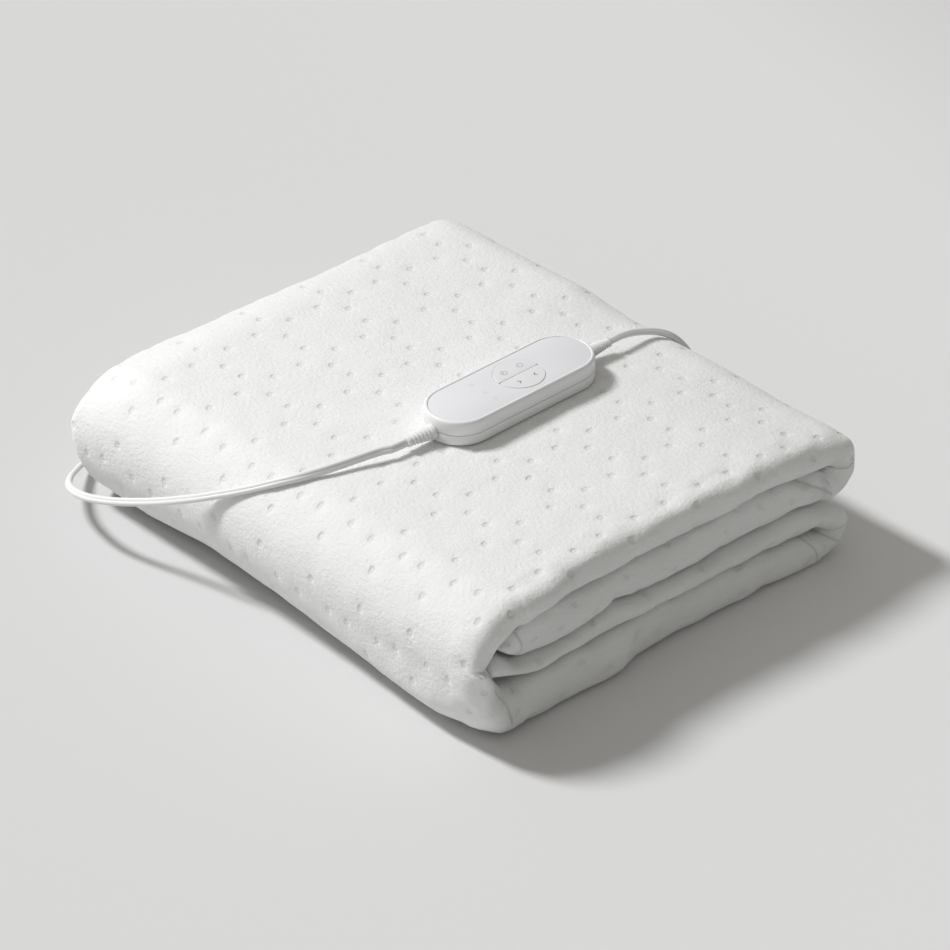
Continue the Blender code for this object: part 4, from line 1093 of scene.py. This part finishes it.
def ribbon_rings(line, width):
    """Rings of a thin flat ribbon along a line on the keys, in mm from the pad's middle."""
    flat = np.array([(x, y, 0.0) for x, y in line])
    route = even_route([Vector(point) for point in flat], 0.35) if len(line) > 2 else flat
    edge = [(-width / 2, -0.05), (width / 2, -0.05), (width / 2, 0.04), (-width / 2, 0.04)]
    rings = sweep(route, edge, np.tile((0.0, 0.0, 1.0), (len(route), 1)))
    return [[hand_frame @ Vector((PAD_MIDDLE.x + x * MM, PAD_MIDDLE.y + y * MM, (KEY_TOP + z) * MM))
             for x, y, z in ring] for ring in rings.tolist()]


def print_marks(name, strokes, body):
    bm = bmesh.new()
    for k, (line, width) in enumerate(strokes):
        stroke_mesh = ring_mesh(f"{name}_{k}", ribbon_rings(line, width))
        bm.from_mesh(stroke_mesh)
        bpy.data.meshes.remove(stroke_mesh)
    marks = bpy.data.meshes.new(name)
    bm.to_mesh(marks)
    bm.free()
    return finished(name, marks, mark_ink.material, 30.0, body=body)


POWER, CLOCK, UP, DOWN = (-7.2, 7.2), (-7.2, -7.2), (8.0, 7.6), (8.0, -6.9)
print_marks("power_and_timer_marks", (
    (mark_arc(*POWER, 2.2, -60, 240), 0.42),
    (((POWER[0], POWER[1] - 0.5), (POWER[0], POWER[1] - 2.9)), 0.42),
    (mark_arc(*CLOCK, 2.3, 0, 359), 0.42),
    (((CLOCK[0], CLOCK[1] + 0.2), (CLOCK[0], CLOCK[1] - 1.4)), 0.4),
    (((CLOCK[0] + 0.15, CLOCK[1]), (CLOCK[0] - 1.1, CLOCK[1])), 0.4)), "power_timer_key")
print_marks("up_and_down_marks", (
    (((UP[0] - 1.7, UP[1] + 0.9), (UP[0] + 0.2, UP[1] - 1.0)), 0.85),
    (((UP[0] + 1.7, UP[1] + 0.9), (UP[0] - 0.2, UP[1] - 1.0)), 0.85),
    (((DOWN[0] - 1.7, DOWN[1] - 0.9), (DOWN[0] + 0.2, DOWN[1] + 1.0)), 0.85),
    (((DOWN[0] + 1.7, DOWN[1] - 0.9), (DOWN[0] - 0.2, DOWN[1] + 1.0)), 0.85)), "up_down_key")
print("controller pieces done")

# %% [markdown]
# ## Fins, grips and stitches
#
# These repeat, so a rule makes them. A Geometry Nodes tree is such a rule: it takes a few named
# sizes and a mesh to start from, and gives all the copies. It is written here like a finish, with
# the same class for numbers. The result is taken as one plain mesh, and the tree's modifier goes
# away with the object that carried it.

# %% Rules as Geometry Nodes
class Rule(Finish):
    """A Geometry Nodes tree with named inputs."""

    def __init__(self, name, **inputs):
        self.tree = bpy.data.node_groups.new(name, "GeometryNodeTree")
        face = self.tree.interface
        face.new_socket("Geometry", in_out="INPUT", socket_type="NodeSocketGeometry")
        face.new_socket("Geometry", in_out="OUTPUT", socket_type="NodeSocketGeometry")
        kinds = {int: "NodeSocketInt", float: "NodeSocketFloat", tuple: "NodeSocketVector"}
        for label, value in inputs.items():
            made = face.new_socket(label.replace("_", " "), in_out="INPUT",
                                   socket_type=kinds[type(value)])
            made.default_value = value
        self.given = self.node("NodeGroupInput").outputs

    def ask(self, label):
        return Number(self, self.given[label])

    def vector(self, x=0.0, y=0.0, z=0.0):
        return self.node("CombineXYZ", X=x, Y=y, Z=z).outputs[0]

    def copies(self, points, instance, finish, **sockets):
        """Copies of a mesh on points, joined to the mesh that the rule starts from."""
        copied = self.node("GeometryNodeInstanceOnPoints", Points=points, Instance=instance, **sockets)
        joined = self.node("GeometryNodeJoinGeometry", Geometry=copied.outputs[0])
        self.feed(joined.inputs[0], self.given["Geometry"])
        real = self.node("GeometryNodeRealizeInstances", Geometry=joined.outputs[0])
        dressed = self.node("GeometryNodeSetMaterial", Geometry=real.outputs[0], Material=finish)
        self.node("NodeGroupOutput", Geometry=dressed.outputs[0])


def carried_out(rule, name, start, where=Matrix(), **inputs):
    """Plain mesh that a rule makes from a starting mesh, moved to its place."""
    maker = bpy.data.objects.new(name + "_maker", start)
    bpy.context.scene.collection.objects.link(maker)
    step = maker.modifiers.new("rule", "NODES")
    step.node_group = rule.tree
    for socket in rule.tree.interface.items_tree:
        label = socket.name.replace(" ", "_")
        if socket.in_out == "INPUT" and label in inputs:
            step[socket.identifier] = inputs[label]
    depsgraph = bpy.context.evaluated_depsgraph_get()
    mesh = bpy.data.meshes.new_from_object(maker.evaluated_get(depsgraph))
    bpy.data.objects.remove(maker)
    bpy.data.meshes.remove(start)
    mesh.name = name
    mesh.transform(where)
    print(name, len(mesh.polygons), "faces")
    return mesh


# %% [markdown]
# A strain relief is a soft tapered sleeve whose fins let it bend evenly. The rule sets rings on a
# line and makes each smaller than the one before; the core and its two collars are a plain loft.

# %% Fins
fins = Rule("fins on a core", Fins=8, First=0.004, Pitch=0.002, Root_radius=0.005, Tip_ratio=0.7,
            Fin_height=0.0009, Fin_width=0.0006)
fin_places = fins.node("GeometryNodeMeshLine", {}, Count=fins.ask("Fins"),
                       Start_Location=fins.vector(z=fins.ask("First")),
                       Offset=fins.vector(z=fins.ask("Pitch")))
hoop = fins.node("GeometryNodeCurvePrimitiveCircle", {}, Resolution=40,
                 Radius=fins.ask("Root radius"))
fin_edge = fins.node("GeometryNodeCurvePrimitiveCircle", {}, Resolution=8, Radius=1.0)
flat_edge = fins.node("GeometryNodeTransform", {}, Geometry=fin_edge.outputs[0],
                      Scale=fins.vector(fins.ask("Fin height"), fins.ask("Fin width"), 1.0))
fin = fins.node("GeometryNodeCurveToMesh", {}, Curve=hoop.outputs[0],
                Profile_Curve=flat_edge.outputs[0])
fin_number = Number(fins, fins.node("GeometryNodeInputIndex").outputs[0])
fin_size = 1 - fin_number / (fins.ask("Fins") - 1) * (1 - fins.ask("Tip ratio"))
fins.copies(fin_places.outputs[0], fin.outputs[0], soft_white,
            Scale=fins.vector(fin_size, fin_size, 1.0))


def core_rings(profile, steps=40):
    """Rings round the z axis from (radius, z) pairs in mm."""
    turn = np.linspace(0, math.tau, steps, endpoint=False)
    return [np.column_stack([r * np.cos(turn), r * np.sin(turn), np.full(steps, z)]) * MM
            for r, z in profile]


LEAD_BOOT = ((5.7, -0.2), (5.9, 0.4), (5.8, 2.6), (5.3, 3.3), (4.5, 3.6), (3.3, 18.4), (3.4, 18.8),
             (4.0, 19.0), (4.1, 19.4), (4.0, 21.4), (3.7, 21.9), (2.8, 22.0))
MAINS_BOOT = ((5.4, -0.2), (5.6, 0.4), (5.5, 1.6), (5.1, 2.1), (4.3, 2.3), (3.0, 19.4), (3.2, 19.6),
              (3.7, 19.8), (3.8, 20.2), (3.7, 21.5), (3.4, 21.9), (2.4, 22.0))
for name, side, profile, sizes in (
        ("lead_boot_finned", -1, LEAD_BOOT,
         dict(Fins=5, First=0.0052, Pitch=0.0029, Root_radius=0.0044, Tip_ratio=0.78,
              Fin_height=0.0010, Fin_width=0.00085)),
        ("mains_boot_finned", 1, MAINS_BOOT,
         dict(Fins=8, First=0.0036, Pitch=0.00205, Root_radius=0.0042, Tip_ratio=0.74,
              Fin_height=0.00095, Fin_width=0.0006))):
    oval = boot_frame(side) @ Matrix.Diagonal((1.0, 0.9, 1.0, 1.0))
    core = ring_mesh(name + "_core", core_rings(profile))
    boot = finished(name, carried_out(fins, name, core, oval, **sizes), soft_white, 50.0)
    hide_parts("lead_boot" if side < 0 else "mains_boot")

# %% [markdown]
# The sleeve where the lead goes into the cloth and the plug at the far end can't be seen from the
# front. They are made as such pieces are: the sleeve flares out to a flat root between the two
# plies, and the flat two-pin plug swells towards its face, with ridges to hold it by.

# %% Sleeve, plug and pins
def oval_ring(frame_at, half_width, half_height, square=2.0, steps=40):
    """Superellipse ring in the x and y of a frame; half sizes in metres."""
    turn = np.linspace(0, math.tau, steps, endpoint=False)
    y, z = arc((0.0, 0.0), half_width, half_height, turn, square)
    return [frame_at @ Vector((a, b, 0.0)) for a, b in zip(y, z)]


def through(sections, parts):
    """Smoothly interpolated sections."""
    known = [Vector(section) for section in sections]
    return [spline_point(known, i / parts) for i in range(parts * (len(known) - 1) + 1)]


sleeve_rings = []
for share, half_width, half_height in through(((0.0, 8.5, 6.0), (0.12, 8.3, 5.9), (0.34, 5.8, 4.6),
                                               (0.65, 4.6, 4.0), (1.0, 3.9, 3.6)), 5):
    way = sleeve_way(share)
    across_way = Vector((0.0, 0.0, 1.0)).cross(way).normalized()
    up_way = way.cross(across_way)
    turned = Matrix((across_way, up_way, way)).transposed().to_4x4()
    at = Matrix.Translation(sleeve_point(share)) @ turned
    sleeve_rings.append(oval_ring(at, half_width * MM, half_height * MM))
sleeve = finished("lead_sleeve_soft", ring_mesh("lead_sleeve_soft", sleeve_rings), soft_white, 50.0)
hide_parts("lead_sleeve")

forward = plug_frame @ Matrix.Rotation(math.radians(90.0), 4, "Y") @ Matrix.Rotation(
    math.radians(90.0), 4, "Z")
PLUG_BODY = ((0.0, 5.4, 4.2), (3, 9.0, 5.6), (9, 12.4, 6.6), (18, 15.6, 6.9), (27, 17.2, 6.9),
             (34, 17.6, 6.9))
body_sections = through(PLUG_BODY, 4) + [Vector((35.2, 17.4, 6.7)), Vector((35.8, 17.0, 6.3)),
                                         Vector((36.0, 16.4, 5.7))]
plug = finished("plug_moulded", ring_mesh("plug_moulded", [
    oval_ring(forward @ Matrix.Translation((0, 0, along * MM)), wide_half * MM, high_half * MM, 3.2, 72)
    for along, wide_half, high_half in body_sections]), plug_white, 40.0)
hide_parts("plug_body")

relief_shape = ((4.3, 0.2), (4.3, 1.2), (3.6, 1.6), (2.5, 14.4), (2.6, 14.6), (3.1, 14.8), (3.1, 15.8),
                (2.4, 16.0))
plug_neck = finished("plug_neck", carried_out(
    fins, "plug_neck", ring_mesh("plug_neck_core", core_rings(relief_shape)), plug_relief, Fins=6,
    First=0.0027, Pitch=0.0020, Root_radius=0.0035, Tip_ratio=0.76, Fin_height=0.0008,
    Fin_width=0.0006), plug_white, 50.0)
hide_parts("plug_relief")

pin_metal = Finish("pin metal", Metallic=1.0, IOR=1.5)
drawn = pin_metal.noise(pin_metal.place(), 2500.0, 2.0)
pin_shade = pin_metal.node("CombineColor", {}, Red=drawn * 0.06 + 0.72, Green=drawn * 0.06 + 0.72,
                           Blue=drawn * 0.06 + 0.73)
pin_metal.relief(drawn * 0.000003)
pin_metal.set(Base_Color=pin_shade.outputs[0], Roughness=drawn * 0.1 + 0.2)
pins, collars = bmesh.new(), bmesh.new()
for side in (-1, 1):
    spot = forward @ Matrix.Translation((side * 9.3 * MM, 0.0, 36.1 * MM))
    for build, shape in ((pins, ((1.8, 9.0), (2.0, 9.1), (2.0, 17.6), (1.7, 18.5), (1.1, 19.0))),
                         (collars, ((2.0, 0.0), (2.0, 8.8), (1.9, 9.0)))):
        part = ring_mesh("pin_part", core_rings(shape, 24))
        part.transform(spot)
        build.from_mesh(part)
        bpy.data.meshes.remove(part)
pin_meshes = []
for name, build in (("plug_pins", pins), ("pin_collars", collars)):
    pin_meshes.append(bpy.data.meshes.new(name))
    build.to_mesh(pin_meshes[-1])
    build.free()
plug_pins = finished("plug_pins", pin_meshes[0], pin_metal.material, 40.0)
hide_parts("plug_pin_left", "plug_pin_right")
pin_collars = finished("pin_collars", pin_meshes[1], plug_white, 40.0)

# %% [markdown]
# Stitches and the ridges of the plug follow a path: small rounded threads lie along it one pitch
# apart, leaning to one side and the other in turn. The open edges of the cloth are closed by such
# a zigzag, which runs along the crown of the edge from one end of the folded strip to the other.

# %% Threads along a path
threads = Rule("threads along a path", Pitch=0.004, Thread=(0.0018, 0.0004, 0.0004), Lean=0.5,
               Turn=0.0, Outward=(-1.0, 0.0, 0.0))
path = threads.node("GeometryNodeMeshToCurve", {}, Mesh=threads.given["Geometry"])
spots = threads.node("GeometryNodeCurveToPoints", {"mode": "LENGTH"}, Curve=path.outputs[0],
                     Length=threads.ask("Pitch"))
bead = threads.node("GeometryNodeMeshUVSphere", {}, Segments=8, Rings=5, Radius=1.0)
flat_way = threads.node("FunctionNodeAxesToRotation", {"primary_axis": "Z", "secondary_axis": "X"},
                        Primary_Axis=threads.given["Outward"], Secondary_Axis=spots.outputs["Tangent"])
thread_number = Number(threads, threads.node("GeometryNodeInputIndex").outputs[0])
lean = threads.maths("MODULO", thread_number, 2.0) * 2 - 1
lean = lean * threads.ask("Lean") + threads.ask("Turn")
leaning = threads.node("FunctionNodeEulerToRotation", {}, Euler=threads.vector(z=lean))
turned = threads.node("FunctionNodeRotateRotation", {"rotation_space": "LOCAL"},
                      Rotation=flat_way.outputs[0], Rotate_By=leaning.outputs[0])
uneven_length = threads.node("FunctionNodeRandomValue", {"data_type": "FLOAT"}, Seed=7)
for key, value in ((2, 0.9), (3, 1.1)):
    uneven_length.inputs[key].default_value = value
thread_size = threads.node("VectorMath", {"operation": "SCALE"}, _0=threads.given["Thread"],
                           Scale=uneven_length.outputs[1])
threads.copies(spots.outputs[0], bead.outputs[0], soft_white, Rotation=turned.outputs[0],
               Scale=thread_size.outputs[0])


def path_mesh(name, points):
    made = bpy.data.meshes.new(name)
    edges = [(i, i + 1) for i in range(len(points) - 1)]
    made.from_pydata([tuple(point) for point in points], edges, [])
    return made


crown = np.array([moved[start + np.argmin(moved[start:end, 0])]
                  for start, end in zip(starts, starts[1:]) if end > start])
crown[1:-1] = (crown[:-2] + 2 * crown[1:-1] + crown[2:]) / 4
crown[:, 0] -= 0.15 * MM
finished("edge_stitches", carried_out(
    threads, "edge_stitches", path_mesh("edge_path", crown), Pitch=0.0034,
    Thread=(0.0021, 0.00038, 0.00038), Lean=0.62), cord_white, 60.0)
for face_side in (-1, 1):
    ridge_path = [forward @ Vector((0.0, face_side * 6.95 * MM, along * MM)) for along in (14.0, 31.0)]
    outward = (forward.to_3x3() @ Vector((0.0, face_side, 0.0)))
    name = "plug_ridges_low" if face_side < 0 else "plug_ridges_top"
    finished(name, carried_out(threads, name, path_mesh(name + "_path", ridge_path), Pitch=0.0034,
                               Thread=(0.0075, 0.0007, 0.0004), Lean=0.0, Turn=math.pi / 2,
                               Outward=tuple(outward)), plug_white, 60.0)

# %% [markdown]
# A soft tie holds the coil. Then both cords are declared with their lengths: the lead is seen
# from end to end, and the mains lead is as long as such leads are.

# %% Tie of the coil
tie_turn = math.radians(205.0)
tie_way = Vector((math.cos(tie_turn), math.sin(tie_turn), 0.0))
tie_rings = []
for angle in np.linspace(0, math.tau, 48, endpoint=False):
    y, z = arc((0.0, 0.0), 8.35 * MM, 8.1 * MM, angle, 4.0)
    outer = np.hypot(y, z)
    ring = []
    for grow, slide in ((0.0, -2.0), (0.35, -1.9), (0.35, 1.9), (0.0, 2.0)):
        scale = 1.0 + grow * MM / outer
        point = COIL * MM + tie_way * (28 * MM + y * scale) + Vector((0, 0, 8.45 * MM + z * scale))
        ring.append(point + tie_way.cross(Vector((0, 0, 1))) * slide * MM)
    tie_rings.append(ring)
tie = finished("coil_tie", ring_mesh("coil_tie", tie_rings, closed=True), soft_white, 40.0)
# %% [markdown]
# ## Light
#
# One big lamp stands far off at the open edges' side and is turned a little past the front, so
# that its light thins out towards the back. A pale sky fills the shadows.

# %% Light
scene = bpy.context.scene
scene.view_settings.view_transform = "Standard"
KEY_PLACE = LOOK_AT + Vector((-0.77, -0.36, 1.0)).normalized() * 3.6
KEY_AIM = LOOK_AT + Vector((0.0, -4.0, 0.0))
key_data = bpy.data.lights.new("window", "AREA")
key_data.shape = "DISK"
key_data.size = 0.95
key_data.energy = 198.0
key_data.color = (0.985, 0.995, 1.0)
key = bpy.data.objects.new("window", key_data)
key.location = KEY_PLACE
key.rotation_euler = (KEY_PLACE - KEY_AIM).to_track_quat("Z", "Y").to_euler()
scene.collection.objects.link(key)

world = bpy.data.worlds.new("sky")
scene.world = world
world.use_nodes = True
sky = world.node_tree.nodes["Background"]
toward = world.node_tree.nodes.new("ShaderNodeTexCoord").outputs["Generated"]
tilt = world.node_tree.nodes.new("ShaderNodeVectorMath")
tilt.operation = "DOT_PRODUCT"
tilt.inputs[1].default_value = (-0.05, -0.10, 0.16)
world.node_tree.links.new(toward, tilt.inputs[0])
even = world.node_tree.nodes.new("ShaderNodeMath")
even.inputs[1].default_value = 0.235
world.node_tree.links.new(tilt.outputs["Value"], even.inputs[0])
world.node_tree.links.new(even.outputs[0], sky.inputs["Strength"])
sky.inputs["Color"].default_value = (1.0, 0.985, 0.94, 1.0)
print("key lamp at", [round(x, 2) for x in KEY_PLACE])

# %% [markdown]
# ## Floor
#
# The floor is one plain tone up to its edges, as in a studio where the paper is lit evenly. A
# lamp can't do that by itself: its light falls off with distance. So the paper is painted lighter
# where the lamp reaches it less, with the same formula that the light follows.

# %% Floor
floor_finish = Finish("pale floor", Roughness=0.9)
spot = floor_finish.node("SeparateXYZ", {}, Vector=floor_finish.place())
east, north = (Number(floor_finish, spot.outputs[k]) - KEY_PLACE[k] for k in (0, 1))
heading = (KEY_AIM - KEY_PLACE).normalized()
reach = floor_finish.maths("SQRT", east * east + north * north + KEY_PLACE.z ** 2)
along_beam = east * heading.x + north * heading.y - KEY_PLACE.z * heading.z
under = along_beam * KEY_PLACE.z / (reach * reach * reach * reach)
straight = KEY_PLACE.length
at_middle = -KEY_PLACE.dot(heading) * KEY_PLACE.z / straight ** 4
lit = floor_finish.maths("MAXIMUM", under, 0.0) * (0.70 / at_middle) + 0.30
paper = floor_finish.maths("MINIMUM", 0.70 / lit, 0.9)
paper_shade = floor_finish.node("CombineColor", {}, Red=paper, Green=paper, Blue=paper)
floor_finish.relief(floor_finish.noise(floor_finish.place(), 300.0) * 0.00001)
floor_finish.set(Base_Color=paper_shade.outputs[0])
floor_mesh = bpy.data.meshes.new("floor")
floor_mesh.from_pydata([(-9, -9, 0), (9, -9, 0), (9, 9, 0), (-9, 9, 0)], [], [(0, 1, 2, 3)])
floor = bpy.data.objects.new("floor", floor_mesh)
floor_mesh.materials.append(floor_finish.material)
scene.collection.objects.link(floor)
